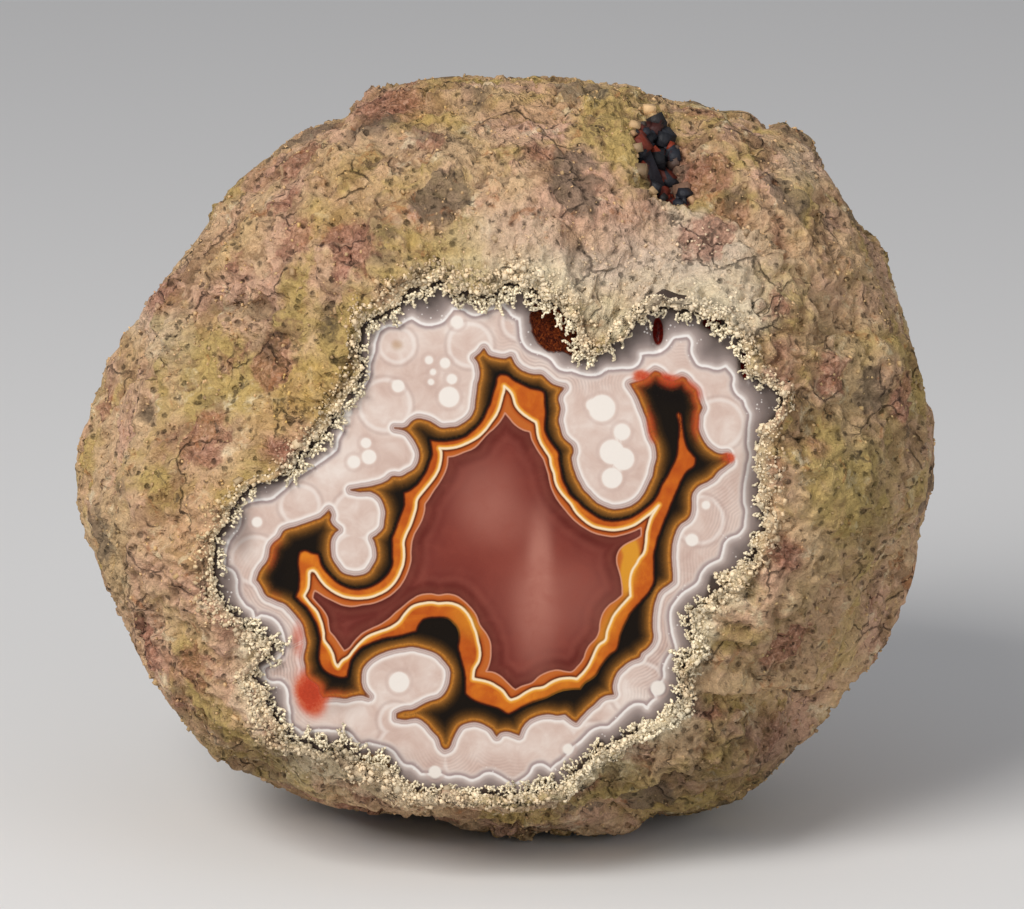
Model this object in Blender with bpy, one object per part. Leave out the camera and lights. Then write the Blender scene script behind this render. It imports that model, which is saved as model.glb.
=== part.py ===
"""Agate nodule: one rough stone with a window in its front that shows the banded agate inside.

The stone stands upright on a small flat spot, its window facing -Y and its longest side along X.
Sizes are in metres. The two outlines are read by eye in the pixels of one reference view, and the
stone's real width turns them into metres.
"""

import math

import bmesh
import bpy
import numpy as np

PART_NAME = "agate_nodule"

# Driving sizes
STONE_WIDTH = 0.094
FACE_FORWARD = 0.0275
BACK_REACH = 0.0430
LIP_HEIGHT = 0.0016
LIP_WIDTH = 0.0012
REST_CUT = 0.0020
OUTLINE_DETAIL_REACH = 0.0050
RIM_DETAIL_REACH = 0.0025
OUTLINE_PLAY = 0.0003
BODY_CENTRE_BACK = 0.004

# Form of the shoulders: 2 is an ellipse, more is squarer
FRONT_SQUARENESS = 2.25
BACK_SQUARENESS = 2.2
FRONT_START_TILT = math.radians(16)

# How much of an outline's detail is softened away far from it, as a spread of angle, and how much
# calmer the lumps are beside the rim
OUTLINE_SPREAD = math.radians(8)
RIM_SPREAD = math.radians(9)
RIM_CALM = 0.6

# The reference view: where it looks from, and its frame in pixels
VIEW_ELEVATION = math.radians(13)
VIEW_DISTANCE = 0.75
VIEW_MIDDLE = (512.0, 454.5)
WINDOW_MIDDLE = (500.0, 545.0)
BACK_MIDDLE = (505.0, 458.0)

# The stone's outline, clockwise from the left
OUTLINE = (
    (80, 445), (88, 422), (96, 398), (110, 360), (121, 348), (122, 338), (143, 316), (162, 290),
    (177, 276), (182, 262), (200, 236), (208, 220), (212, 206), (230, 190), (262, 166), (278, 154),
    (286, 142), (308, 126), (322, 120), (332, 119), (342, 125), (346, 113), (352, 100), (362, 90),
    (376, 83), (395, 80), (420, 79), (438, 83), (455, 77), (475, 75), (498, 75), (525, 79),
    (535, 76), (560, 84), (585, 85), (612, 84), (628, 81), (645, 92), (660, 100), (682, 107),
    (692, 103), (715, 112), (748, 113), (766, 127), (788, 123), (806, 136), (815, 144), (821, 157),
    (832, 183), (845, 203), (856, 224), (870, 232), (886, 252), (892, 268), (895, 280), (894, 310),
    (901, 340), (914, 378), (918, 392), (932, 411), (933, 422), (931, 438), (932, 490), (918, 528),
    (917, 548), (911, 580), (898, 627), (883, 648), (868, 668), (848, 692), (818, 728), (795, 748),
    (775, 767), (757, 786), (734, 802), (718, 806), (688, 814), (665, 815), (650, 820), (622, 835),
    (605, 836), (590, 838), (550, 834), (535, 837), (520, 841), (505, 840), (490, 836), (462, 829),
    (437, 818), (420, 812), (390, 811), (370, 815), (342, 809), (318, 801), (298, 788), (270, 779),
    (242, 772), (228, 767), (215, 758), (198, 738), (180, 712), (165, 690), (145, 660), (135, 632),
    (118, 610), (104, 562), (95, 550), (80, 527), (76, 500), (79, 490), (75, 465),
)

# The window's ragged rim, clockwise from the upper left
RIM = (
    (300, 452), (307, 448), (319, 439), (331, 424), (337, 410), (348, 400), (354, 389), (360, 381),
    (364, 366), (357, 356), (361, 340), (363, 327), (371, 320), (385, 315), (397, 307), (404, 297),
    (412, 290), (427, 286), (439, 281), (449, 284), (452, 296), (466, 290), (479, 297), (491, 296),
    (504, 286), (519, 284), (530, 286), (542, 299), (555, 306), (567, 318), (576, 328), (580, 344),
    (592, 358), (608, 346), (618, 333), (633, 323), (641, 309), (655, 303), (671, 309), (692, 311),
    (703, 315), (722, 320), (736, 333), (744, 347), (751, 357), (751, 371), (764, 383), (779, 391),
    (784, 409), (773, 421), (765, 436), (761, 455), (763, 480), (761, 497), (764, 508), (767, 523),
    (757, 539), (756, 552), (749, 563), (736, 574), (731, 581), (714, 578), (709, 597), (705, 607),
    (690, 611), (691, 626), (694, 641), (701, 650), (687, 660), (681, 672), (686, 690), (682, 706),
    (668, 718), (644, 729), (625, 737), (611, 746), (609, 755), (601, 744), (589, 760), (576, 772),
    (569, 785), (557, 792), (540, 791), (520, 796), (509, 799), (497, 796), (487, 791), (475, 797),
    (462, 797), (452, 793), (431, 793), (415, 792), (401, 785), (393, 774), (381, 765), (362, 762),
    (352, 753), (341, 741), (327, 753), (311, 743), (293, 741), (284, 729), (277, 716), (268, 706),
    (263, 686), (253, 678), (251, 667), (264, 660), (272, 653), (273, 642), (257, 637), (241, 623),
    (225, 608), (216, 598), (217, 583), (216, 562), (217, 537), (228, 525), (232, 511), (241, 497),
    (251, 486), (263, 481), (279, 479), (290, 470), (297, 459),
)

# Swellings and hollows of the front: middle x and y, half length and half breadth in pixels, the
# turn of the length below the horizontal in degrees, and the height in metres
SWELLING_FLATNESS = 1.3
SWELLINGS = (
    (672, 160, 34, 20, 32, -0.0042), (737, 200, 34, 9, 27, -0.0012), (792, 232, 24, 9, 46, -0.0009),
    (716, 138, 20, 14, 60, 0.0008), (862, 362, 34, 26, 90, 0.0017), (846, 312, 26, 18, 90, -0.0013),
    (808, 305, 40, 9, 88, -0.0008), (165, 300, 32, 20, -58, 0.0008), (248, 306, 55, 9, 8, -0.0011),
    (330, 326, 22, 11, 90, -0.0010), (298, 398, 62, 40, -42, 0.0010), (392, 252, 24, 12, 80, -0.0007),
    (470, 232, 44, 26, 0, 0.0007), (566, 214, 70, 34, 0, 0.0008), (652, 252, 60, 22, 20, 0.0007),
    (772, 612, 46, 30, -35, 0.0013), (712, 628, 20, 16, 0, 0.0009), (836, 470, 62, 36, 90, 0.0008),
    (792, 664, 52, 20, -28, -0.0009), (172, 468, 40, 24, 70, -0.0007), (128, 470, 30, 14, 80, 0.0008),
    (235, 648, 26, 20, -50, -0.0006), (160, 622, 30, 12, 20, -0.0009), (205, 560, 40, 22, 80, 0.0008),
    (400, 150, 50, 16, 8, -0.0008), (380, 104, 38, 18, 0, 0.0007), (720, 766, 50, 16, -8, 0.0010),
)

# Creases of the front: points in pixels, half breadth in pixels, depth, and the step down beyond
# the crease, both in metres. The step is whole over STEP_REACH pixels and then fades out
STEP_REACH = 20.0
STEP_FADE = 12.0
CREASES = (
    (((262, 752), (300, 757), (330, 763), (365, 784), (400, 801), (440, 807), (490, 813),
      (535, 808), (568, 797), (600, 780), (625, 760), (655, 737)), 8, 0.0014, 0.0014),
    (((668, 724), (690, 713), (715, 711), (745, 716), (780, 716), (815, 706)), 9, 0.0022, 0.0010),
    (((684, 786), (672, 796), (662, 808)), 9, 0.0024, 0.0),
    (((640, 182), (690, 192), (740, 208), (795, 245), (826, 290), (826, 330)), 8, 0.0012, 0.0),
    (((190, 336), (206, 314), (240, 302), (292, 300)), 8, 0.0011, 0.0),
)

# Lumps all over the stone: wavelength and height in metres, and a seed
LUMPS = (
    (0.0320, 0.0044, 11),
    (0.0150, 0.0030, 23),
    (0.0080, 0.0016, 37),
)

# Constants of the lattice noise: how far a seed moves the lattice, and the odd numbers that mix a
# corner's place into its slope
SEED_SHIFT = 0.37
PLACE_PRIMES = (73856093, 19349663, 83492791)
SEED_PRIME = 2654435
MIXERS = ((13, 1274126177), (15, 2246822519))
WHOLE_WORD = 0xFFFFFFFF
SLOPE_BITS = 10
SLOPE_TOP = 2 ** SLOPE_BITS - 1

# Mesh: slices round the window's axis, and rings of each stretch from the face to the back
SLICES = 100
FACE_RINGS = 4
LIP_RINGS = 3
FRONT_RINGS = 16
BACK_RINGS = 26
TABLE_ANGLES = np.linspace(0.0, 2.0 * math.pi, 720, endpoint=False)

RIND_COLOUR = (0.36, 0.25, 0.13, 1.0)
RIND_ROUGHNESS = 0.9
SHARP_EDGE = math.radians(35)

METRES_PER_PIXEL = STONE_WIDTH / (max(p[0] for p in OUTLINE) - min(p[0] for p in OUTLINE))


def polar_table(outline):
    """Radius of an outline about the window's middle, in pixels, at each table angle."""
    points = np.array(outline, dtype=float)
    across = points[:, 0] - WINDOW_MIDDLE[0]
    up = WINDOW_MIDDLE[1] - points[:, 1]
    angle = np.arctan2(up, across) % (2.0 * math.pi)
    order = np.argsort(angle)
    radius = np.hypot(across, up)
    return np.interp(TABLE_ANGLES, angle[order], radius[order], period=2.0 * math.pi)


def softened(table, spread):
    """A table without its detail: each of its waves is weakened by a bell of the spread's width."""
    waves = np.fft.rfft(table)
    count = np.arange(len(waves))
    return np.fft.irfft(waves * np.exp(-0.5 * (count * spread) ** 2), len(table))


OUTLINE_TABLE = polar_table(OUTLINE)
OUTLINE_SOFT = softened(OUTLINE_TABLE, OUTLINE_SPREAD)
RIM_TABLE = polar_table(RIM)
RIM_SOFT = softened(RIM_TABLE, RIM_SPREAD)


def at(table, angle):
    """A table's value at any angle."""
    return np.interp(angle, TABLE_ANGLES, table, period=2.0 * math.pi)


def world_point(pixel_x, pixel_y, toward):
    """Place of a pixel at a depth towards the viewer, in world axes about the view's middle."""
    shrink = 1.0 - toward / VIEW_DISTANCE
    across = (pixel_x - VIEW_MIDDLE[0]) * METRES_PER_PIXEL * shrink
    up = (VIEW_MIDDLE[1] - pixel_y) * METRES_PER_PIXEL * shrink
    sine = math.sin(VIEW_ELEVATION)
    cosine = math.cos(VIEW_ELEVATION)
    return np.stack((across, up * sine - toward * cosine, up * cosine + toward * sine), axis=-1)


def face_depth(pixel_y):
    """Depth towards the viewer of the upright face plane, along the ray of a pixel's height."""
    up = (VIEW_MIDDLE[1] - pixel_y) * METRES_PER_PIXEL
    sine = math.sin(VIEW_ELEVATION)
    cosine = math.cos(VIEW_ELEVATION)
    return (FACE_FORWARD + up * sine) / (cosine + up * sine / VIEW_DISTANCE)


def lattice_noise(points, wavelength, seed):
    """Smooth noise from -1 to 1: slopes drawn at the corners of a cubic lattice and blended."""
    scaled = points / wavelength + seed * SEED_SHIFT
    cell = np.floor(scaled).astype(np.int64)
    inside = scaled - cell
    blend = inside ** 3 * (inside * (inside * 6.0 - 15.0) + 10.0)
    total = np.zeros(len(points))
    for corner in range(8):
        step = np.array((corner & 1, corner >> 1 & 1, corner >> 2 & 1))
        mixed = np.bitwise_xor.reduce((cell + step) * PLACE_PRIMES, axis=-1) ^ seed * SEED_PRIME
        for turn, mixer in MIXERS:
            mixed = (mixed ^ mixed >> turn) * mixer & WHOLE_WORD
        parts = [mixed >> SLOPE_BITS * axis & SLOPE_TOP for axis in range(3)]
        slope = np.stack(parts, axis=-1) * 2.0 / SLOPE_TOP - 1.0
        weight = np.prod(np.where(step == 1, blend, 1.0 - blend), axis=-1)
        total += weight * np.sum(slope * (inside - step), axis=-1)
    return total


def swelling_height(pixel_x, pixel_y):
    """Sum of the named swellings: each is a bell over a turned ellipse."""
    total = np.zeros(len(pixel_x))
    for middle_x, middle_y, half_length, half_breadth, turn, height in SWELLINGS:
        cosine = math.cos(math.radians(turn))
        sine = math.sin(math.radians(turn))
        along = ((pixel_x - middle_x) * cosine + (pixel_y - middle_y) * sine) / half_length
        aside = ((pixel_y - middle_y) * cosine - (pixel_x - middle_x) * sine) / half_breadth
        total += height * np.exp(-(along ** 2 + aside ** 2) ** SWELLING_FLATNESS)
    return total


def crease_height(pixel_x, pixel_y):
    """Sum of the creases: a narrow valley along each line, with a step down on its lower side."""
    total = np.zeros(len(pixel_x))
    for line, half_breadth, depth, step in CREASES:
        points = np.array(line, dtype=float)
        best = np.full(len(pixel_x), np.inf)
        below = np.zeros(len(pixel_x))
        for start, end in zip(points[:-1], points[1:]):
            run = end - start
            part = ((pixel_x - start[0]) * run[0] + (pixel_y - start[1]) * run[1]) / (run @ run)
            part = np.clip(part, 0.0, 1.0)
            gap_x = pixel_x - start[0] - part * run[0]
            gap_y = pixel_y - start[1] - part * run[1]
            gap = np.hypot(gap_x, gap_y)
            side = (run[0] * gap_y - run[1] * gap_x) / math.hypot(run[0], run[1])
            nearer = gap < best
            best = np.where(nearer, gap, best)
            below = np.where(nearer, side, below)
        total -= depth * np.exp(-(best / half_breadth) ** 2)
        beyond = np.clip(below / half_breadth, 0.0, 1.0)
        total -= step * beyond * np.exp(-(np.maximum(best - STEP_REACH, 0.0) / STEP_FADE) ** 2)
    return total


def stone_surface(angle, track):
    """Points of the stone for an angle about the window's axis and a track from face to back.

    Track 0 to 1 is the flat face out to the rim, 1 to 2 the lip round it, 2 to 3 the front rind
    out to the outline and 3 to 4 the back in to its middle. Each rind stretch is a quarter of a
    squarish ellipse in depth over a straight run in the view. The outline's and the rim's detail
    fade within a few millimetres of them, and lattice noise, swellings and creases push the rind
    out or in from a middle inside the stone.
    """
    face = np.clip(track, 0.0, 1.0)
    lip = np.clip(track - 1.0, 0.0, 1.0)
    front = np.clip(track - 2.0, 0.0, 1.0)
    back = np.clip(track - 3.0, 0.0, 1.0)
    is_front = track > 2.0
    is_back = track > 3.0

    rim = at(RIM_TABLE, angle)
    rim_soft = at(RIM_SOFT, angle)
    outline_soft = at(OUTLINE_SOFT, angle)
    outline_detail = at(OUTLINE_TABLE, angle) - outline_soft
    lip_width = LIP_WIDTH / METRES_PER_PIXEL

    swing = FRONT_START_TILT + (math.pi / 2.0 - FRONT_START_TILT) * front
    start_out = math.sin(FRONT_START_TILT) ** (2.0 / FRONT_SQUARENESS)
    start_deep = math.cos(FRONT_START_TILT) ** (2.0 / FRONT_SQUARENESS)
    out = (np.sin(swing) ** (2.0 / FRONT_SQUARENESS) - start_out) / (1.0 - start_out)
    deep = np.abs(np.cos(swing)) ** (2.0 / FRONT_SQUARENESS) / start_deep

    rim_y = WINDOW_MIDDLE[1] - rim * np.sin(angle)
    crest = face_depth(rim_y) + LIP_HEIGHT
    run = outline_soft - rim_soft - lip_width
    from_rim = out * run * METRES_PER_PIXEL
    to_outline = (1.0 - out) * run * METRES_PER_PIXEL
    rim_part = np.exp(-(from_rim / RIM_DETAIL_REACH) ** 2)
    outline_part = np.exp(-(to_outline ** 2 + (crest * deep) ** 2) / OUTLINE_DETAIL_REACH ** 2)
    front_radius = rim_soft + lip_width + out * run
    front_radius = front_radius + rim_part * (rim - rim_soft) + outline_part * outline_detail
    radius = np.where(is_front, front_radius, rim * face + lip_width * lip)
    pixel_x = WINDOW_MIDDLE[0] + radius * np.cos(angle)
    pixel_y = WINDOW_MIDDLE[1] - radius * np.sin(angle)

    lip_rise = LIP_HEIGHT * np.sin(lip * math.pi / 2.0)
    toward = np.where(is_front, crest * deep, face_depth(pixel_y) + lip_rise)

    closing = np.abs(np.cos(back * math.pi / 2.0)) ** (2.0 / BACK_SQUARENESS)
    behind = -BACK_REACH * np.sin(back * math.pi / 2.0) ** (2.0 / BACK_SQUARENESS)
    inward = (1.0 - closing) * outline_soft * METRES_PER_PIXEL
    edge_part = np.exp(-(inward ** 2 + behind ** 2) / OUTLINE_DETAIL_REACH ** 2)
    back_radius = outline_soft + outline_detail * edge_part
    edge_x = WINDOW_MIDDLE[0] + back_radius * np.cos(angle)
    edge_y = WINDOW_MIDDLE[1] - back_radius * np.sin(angle)
    pixel_x = np.where(is_back, BACK_MIDDLE[0] + (edge_x - BACK_MIDDLE[0]) * closing, pixel_x)
    pixel_y = np.where(is_back, BACK_MIDDLE[1] + (edge_y - BACK_MIDDLE[1]) * closing, pixel_y)
    toward = np.where(is_back, behind, toward)

    points = world_point(pixel_x, pixel_y, toward)
    outward = points - world_point(*BACK_MIDDLE, -BODY_CENTRE_BACK)
    outward /= np.linalg.norm(outward, axis=-1, keepdims=True)

    inset = np.where(is_back, inward, to_outline)
    free = 1.0 - np.exp(-(inset ** 2 + toward ** 2) / OUTLINE_DETAIL_REACH ** 2)
    lumps = sum(height * lattice_noise(points, wave, seed) for wave, height, seed in LUMPS)
    named = np.where(is_back, 0.0, swelling_height(pixel_x, pixel_y) + crease_height(pixel_x, pixel_y))
    calm = np.where(is_back, 0.0, RIM_CALM * rim_part)
    rise = np.where(is_front, free * (lumps + named) * (1.0 - calm), 0.0)
    room = inset + OUTLINE_PLAY
    rise = np.where(rise > 0.0, rise * room / (np.abs(rise) + room), rise)
    return points + outward * rise[:, None]


def settled(points):
    """The stone moved so that its box stands on the floor at the origin, with its foot worn flat."""
    floor = points[:, 2].min() + REST_CUT
    worn = points.copy()
    worn[:, 2] = np.maximum(worn[:, 2], floor)
    low = worn.min(axis=0)
    high = worn.max(axis=0)
    shift = np.array(((low[0] + high[0]) / 2.0, (low[1] + high[1]) / 2.0, floor))
    return worn - shift


def ring_tracks():
    """The track of each ring of the mesh, from the middle of the face to the middle of the back."""
    face = np.linspace(0.0, 1.0, FACE_RINGS, endpoint=False)
    lip = np.linspace(1.0, 2.0, LIP_RINGS, endpoint=False)
    front = np.linspace(2.0, 3.0, FRONT_RINGS, endpoint=False)
    back = np.linspace(3.0, 4.0, BACK_RINGS + 1)
    return np.concatenate((face, lip, front, back))


def make_material(name, colour, roughness):
    """Plain stone: rough, not metallic."""
    material = bpy.data.materials.new(name)
    material.use_nodes = True
    shader = material.node_tree.nodes["Principled BSDF"]
    shader.inputs["Base Color"].default_value = colour
    shader.inputs["Roughness"].default_value = roughness
    shader.inputs["Metallic"].default_value = 0.0
    return material


def make_stone(collection):
    """A sphere with its poles on the window's axis, whose vertices move to the stone's surface."""
    tracks = ring_tracks()
    shape = bmesh.new()
    bmesh.ops.create_uvsphere(shape, u_segments=SLICES, v_segments=len(tracks) - 1, radius=1.0)
    sphere = np.array([vertex.co[:] for vertex in shape.verts])
    angle = np.arctan2(sphere[:, 1], sphere[:, 0])
    polar = np.arccos(np.clip(sphere[:, 2], -1.0, 1.0))
    ring = np.rint(polar / math.pi * (len(tracks) - 1)).astype(int)
    points = settled(stone_surface(angle, tracks[ring]))
    for vertex, point in zip(shape.verts, points):
        vertex.co = point
    bmesh.ops.recalc_face_normals(shape, faces=shape.faces)
    mesh = bpy.data.meshes.new(PART_NAME)
    shape.to_mesh(mesh)
    shape.free()
    mesh.shade_smooth()
    mesh.set_sharp_from_angle(angle=SHARP_EDGE)
    mesh.materials.append(make_material("rind", RIND_COLOUR, RIND_ROUGHNESS))
    stone = bpy.data.objects.new(PART_NAME, mesh)
    collection.objects.link(stone)
    return stone


def main():
    """Clear the scene and build the stone in a collection of its own."""
    for old in list(bpy.data.objects):
        bpy.data.objects.remove(old, do_unlink=True)
    collection = bpy.data.collections.new(PART_NAME)
    bpy.context.scene.collection.children.link(collection)
    make_stone(collection)


main()
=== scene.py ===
"""Looks of an agate nodule: a rough ochre rind, the banded agate in its window and the grains between.

Every piece is a surface worked out with numpy. The stone's shape is the same rule as its solid's,
drawn much finer, and the agate's bands follow outlines read in the pixels of one reference view,
1024 by 909. Lengths are in metres unless a name says pixels.
"""

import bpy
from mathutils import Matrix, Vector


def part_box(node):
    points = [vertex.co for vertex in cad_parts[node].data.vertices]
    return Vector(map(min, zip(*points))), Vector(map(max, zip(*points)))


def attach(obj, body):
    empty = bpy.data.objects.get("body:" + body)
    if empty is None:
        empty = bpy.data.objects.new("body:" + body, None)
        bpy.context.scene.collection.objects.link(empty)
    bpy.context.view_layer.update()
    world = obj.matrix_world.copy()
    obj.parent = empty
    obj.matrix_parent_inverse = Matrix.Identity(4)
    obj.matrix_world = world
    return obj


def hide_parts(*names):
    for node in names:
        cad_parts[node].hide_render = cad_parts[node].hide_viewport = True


bl_info = {
    "name": "Agate Nodule",
    "version": (1, 0, 0),
    "blender": (4, 5, 0),
    "location": "View3D > Sidebar > Agate",
    "description": "Builds the rind, the banded window and the grains of an agate nodule, and its stage",
    "category": "Add Mesh",
}

import math
from functools import lru_cache
from types import SimpleNamespace

import bpy
import numpy as np
from bpy.props import FloatProperty, FloatVectorProperty, IntProperty
from mathutils import Vector

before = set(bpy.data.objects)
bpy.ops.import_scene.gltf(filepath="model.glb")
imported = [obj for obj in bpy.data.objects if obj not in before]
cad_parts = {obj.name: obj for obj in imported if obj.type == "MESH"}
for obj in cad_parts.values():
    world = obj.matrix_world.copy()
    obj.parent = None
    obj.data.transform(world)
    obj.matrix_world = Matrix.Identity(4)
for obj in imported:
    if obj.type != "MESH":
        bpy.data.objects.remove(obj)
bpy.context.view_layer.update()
STONE_NODE = "agate_nodule"

# Driving sizes of the stone, as in its solid
STONE_WIDTH = 0.094
FACE_FORWARD = 0.0275
BACK_REACH = 0.0430
LIP_HEIGHT = 0.0016
LIP_WIDTH = 0.0012
REST_CUT = 0.0020
OUTLINE_DETAIL_REACH = 0.0050
RIM_DETAIL_REACH = 0.0025
OUTLINE_PLAY = 0.0003
BODY_CENTRE_BACK = 0.004
FRONT_SQUARENESS = 2.25
BACK_SQUARENESS = 2.2
FRONT_START_TILT = math.radians(16)
OUTLINE_SPREAD = math.radians(8)
RIM_SPREAD = math.radians(9)
RIM_CALM = 0.6

# The reference view: where it looks from, and its width and some places in its pixels
VIEW_ELEVATION = math.radians(13)
VIEW_DISTANCE = 0.75
VIEW_WIDTH = 1024.0
VIEW_MIDDLE = (512.0, 454.5)
WINDOW_MIDDLE = (500.0, 545.0)
BACK_MIDDLE = (505.0, 458.0)
SENSOR_WIDTH_MM = 36.0

# The solid's own mesh, from which its place on the floor is worked out
SOLID_SLICES = 100
SOLID_RINGS = (4, 3, 16, 26)
FIT_TOLERANCE = 0.0002

# The stone's outline, clockwise from the left
OUTLINE = (
    (80, 445), (88, 422), (96, 398), (110, 360), (121, 348), (122, 338), (143, 316), (162, 290),
    (177, 276), (182, 262), (200, 236), (208, 220), (212, 206), (230, 190), (262, 166), (278, 154),
    (286, 142), (308, 126), (322, 120), (332, 119), (342, 125), (346, 113), (352, 100), (362, 90),
    (376, 83), (395, 80), (420, 79), (438, 83), (455, 77), (475, 75), (498, 75), (525, 79),
    (535, 76), (560, 84), (585, 85), (612, 84), (628, 81), (645, 92), (660, 100), (682, 107),
    (692, 103), (715, 112), (748, 113), (766, 127), (788, 123), (806, 136), (815, 144), (821, 157),
    (832, 183), (845, 203), (856, 224), (870, 232), (886, 252), (892, 268), (895, 280), (894, 310),
    (901, 340), (914, 378), (918, 392), (932, 411), (933, 422), (931, 438), (932, 490), (918, 528),
    (917, 548), (911, 580), (898, 627), (883, 648), (868, 668), (848, 692), (818, 728), (795, 748),
    (775, 767), (757, 786), (734, 802), (718, 806), (688, 814), (665, 815), (650, 820), (622, 835),
    (605, 836), (590, 838), (550, 834), (535, 837), (520, 841), (505, 840), (490, 836), (462, 829),
    (437, 818), (420, 812), (390, 811), (370, 815), (342, 809), (318, 801), (298, 788), (270, 779),
    (242, 772), (228, 767), (215, 758), (198, 738), (180, 712), (165, 690), (145, 660), (135, 632),
    (118, 610), (104, 562), (95, 550), (80, 527), (76, 500), (79, 490), (75, 465),
)

# The window's ragged rim, clockwise from the upper left
RIM = (
    (300, 452), (307, 448), (319, 439), (331, 424), (337, 410), (348, 400), (354, 389), (360, 381),
    (364, 366), (357, 356), (361, 340), (363, 327), (371, 320), (385, 315), (397, 307), (404, 297),
    (412, 290), (427, 286), (439, 281), (449, 284), (452, 296), (466, 290), (479, 297), (491, 296),
    (504, 286), (519, 284), (530, 286), (542, 299), (555, 306), (567, 318), (576, 328), (580, 344),
    (592, 358), (608, 346), (618, 333), (633, 323), (641, 309), (655, 303), (671, 309), (692, 311),
    (703, 315), (722, 320), (736, 333), (744, 347), (751, 357), (751, 371), (764, 383), (779, 391),
    (784, 409), (773, 421), (765, 436), (761, 455), (763, 480), (761, 497), (764, 508), (767, 523),
    (757, 539), (756, 552), (749, 563), (736, 574), (731, 581), (714, 578), (709, 597), (705, 607),
    (690, 611), (691, 626), (694, 641), (701, 650), (687, 660), (681, 672), (686, 690), (682, 706),
    (668, 718), (644, 729), (625, 737), (611, 746), (609, 755), (601, 744), (589, 760), (576, 772),
    (569, 785), (557, 792), (540, 791), (520, 796), (509, 799), (497, 796), (487, 791), (475, 797),
    (462, 797), (452, 793), (431, 793), (415, 792), (401, 785), (393, 774), (381, 765), (362, 762),
    (352, 753), (341, 741), (327, 753), (311, 743), (293, 741), (284, 729), (277, 716), (268, 706),
    (263, 686), (253, 678), (251, 667), (264, 660), (272, 653), (273, 642), (257, 637), (241, 623),
    (225, 608), (216, 598), (217, 583), (216, 562), (217, 537), (228, 525), (232, 511), (241, 497),
    (251, 486), (263, 481), (279, 479), (290, 470), (297, 459),
)

# Swellings and hollows of the front: middle x and y, half length and half breadth in pixels, the
# turn of the length below the horizontal in degrees, and the height in metres
SWELLING_FLATNESS = 1.3
SWELLINGS = (
    (672, 160, 34, 20, 32, -0.0042), (737, 200, 34, 9, 27, -0.0012), (792, 232, 24, 9, 46, -0.0009),
    (716, 138, 20, 14, 60, 0.0008), (862, 362, 34, 26, 90, 0.0017), (846, 312, 26, 18, 90, -0.0013),
    (808, 305, 40, 9, 88, -0.0008), (165, 300, 32, 20, -58, 0.0008), (248, 306, 55, 9, 8, -0.0011),
    (330, 326, 22, 11, 90, -0.0010), (298, 398, 62, 40, -42, 0.0010), (392, 252, 24, 12, 80, -0.0007),
    (470, 232, 44, 26, 0, 0.0007), (566, 214, 70, 34, 0, 0.0008), (652, 252, 60, 22, 20, 0.0007),
    (772, 612, 46, 30, -35, 0.0013), (712, 628, 20, 16, 0, 0.0009), (836, 470, 62, 36, 90, 0.0008),
    (792, 664, 52, 20, -28, -0.0009), (172, 468, 40, 24, 70, -0.0007), (128, 470, 30, 14, 80, 0.0008),
    (235, 648, 26, 20, -50, -0.0006), (160, 622, 30, 12, 20, -0.0009), (205, 560, 40, 22, 80, 0.0008),
    (400, 150, 50, 16, 8, -0.0008), (380, 104, 38, 18, 0, 0.0007), (720, 766, 50, 16, -8, 0.0010),
)

# Creases of the front: points in pixels, half breadth in pixels, depth, and the step down beyond
# the crease, both in metres. The step is whole over STEP_REACH pixels and then fades out
STEP_REACH = 20.0
STEP_FADE = 12.0
CREASES = (
    (((262, 752), (300, 757), (330, 763), (365, 784), (400, 801), (440, 807), (490, 813),
      (535, 808), (568, 797), (600, 780), (625, 760), (655, 737)), 8, 0.0014, 0.0014),
    (((668, 724), (690, 713), (715, 711), (745, 716), (780, 716), (815, 706)), 9, 0.0022, 0.0010),
    (((684, 786), (672, 796), (662, 808)), 9, 0.0024, 0.0),
    (((640, 182), (690, 192), (740, 208), (795, 245), (826, 290), (826, 330)), 8, 0.0012, 0.0),
    (((190, 336), (206, 314), (240, 302), (292, 300)), 8, 0.0011, 0.0),
)

# Lumps all over the stone: wavelength and height in metres, and a seed. CRAGS and CRUMBS are too
# small for the solid: crags are folds with sharp valleys, crumbs are rounded cells, and a warp
# bends both. The smaller ones are stronger in some zones than in others, by a broad noise: its
# wavelength and seed, its middle and gain, and the least and the most that it gives
LUMPS = ((0.0320, 0.0044, 11), (0.0150, 0.0030, 23), (0.0080, 0.0016, 37))
CRAGS = ((0.0090, 0.00170, 41), (0.0042, 0.00080, 43), (0.0020, 0.00042, 47), (0.0009, 0.00022, 53))
CRAG_MEAN = 0.2
CRUMBS = ((0.0046, 0.00032, 51), (0.0021, 0.00026, 67), (0.0010, 0.00020, 83))
WARP = (0.0060, 0.0022, (31, 33, 35))
ZONE_NOISE = (0.0110, 29)
ZONE_MIDDLE = 0.75
ZONE_GAIN = 1.6
ZONE_LIMITS = (0.25, 1.4)

# Where the relief differs: the smoother side of the front as a spot of pixels, how much calmer it
# is there, how much rougher within a reach of the rim in pixels, and the track by which the relief
# has set in. A step of the smaller relief is one unit of the relief field
SMOOTH_SIDE = (850, 520, 170, 250, 0)
SMOOTH_SIDE_CALM = 0.4
RIM_ROUGHNESS = 0.4
RIM_ROUGH_REACH = 22.0
RELIEF_START = 1.35
RELIEF_RUN = 0.3
RELIEF_UNIT = 0.0003

# The front's fields: the track where they end and over how much, the noises that fray their edges
# as reach in pixels, wavelength and seeds, and how far from the rim the lip's crust reaches
FRONT_END = 3.05
FRONT_FADE = 0.1
FRAYS = ((9.0, 0.0026, (71, 73)), (4.0, 0.0011, (79, 89)))
LIP_REACH = 30.0
RIND_FIELDS = ("rust", "stain", "pale", "ochre", "olive", "cream", "crystal", "shade")
WINDOW_SPOTS = ("red", "pocket", "slot", "amber", "yellow", "glow", "stripe", "cloud", "gloom")

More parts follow.
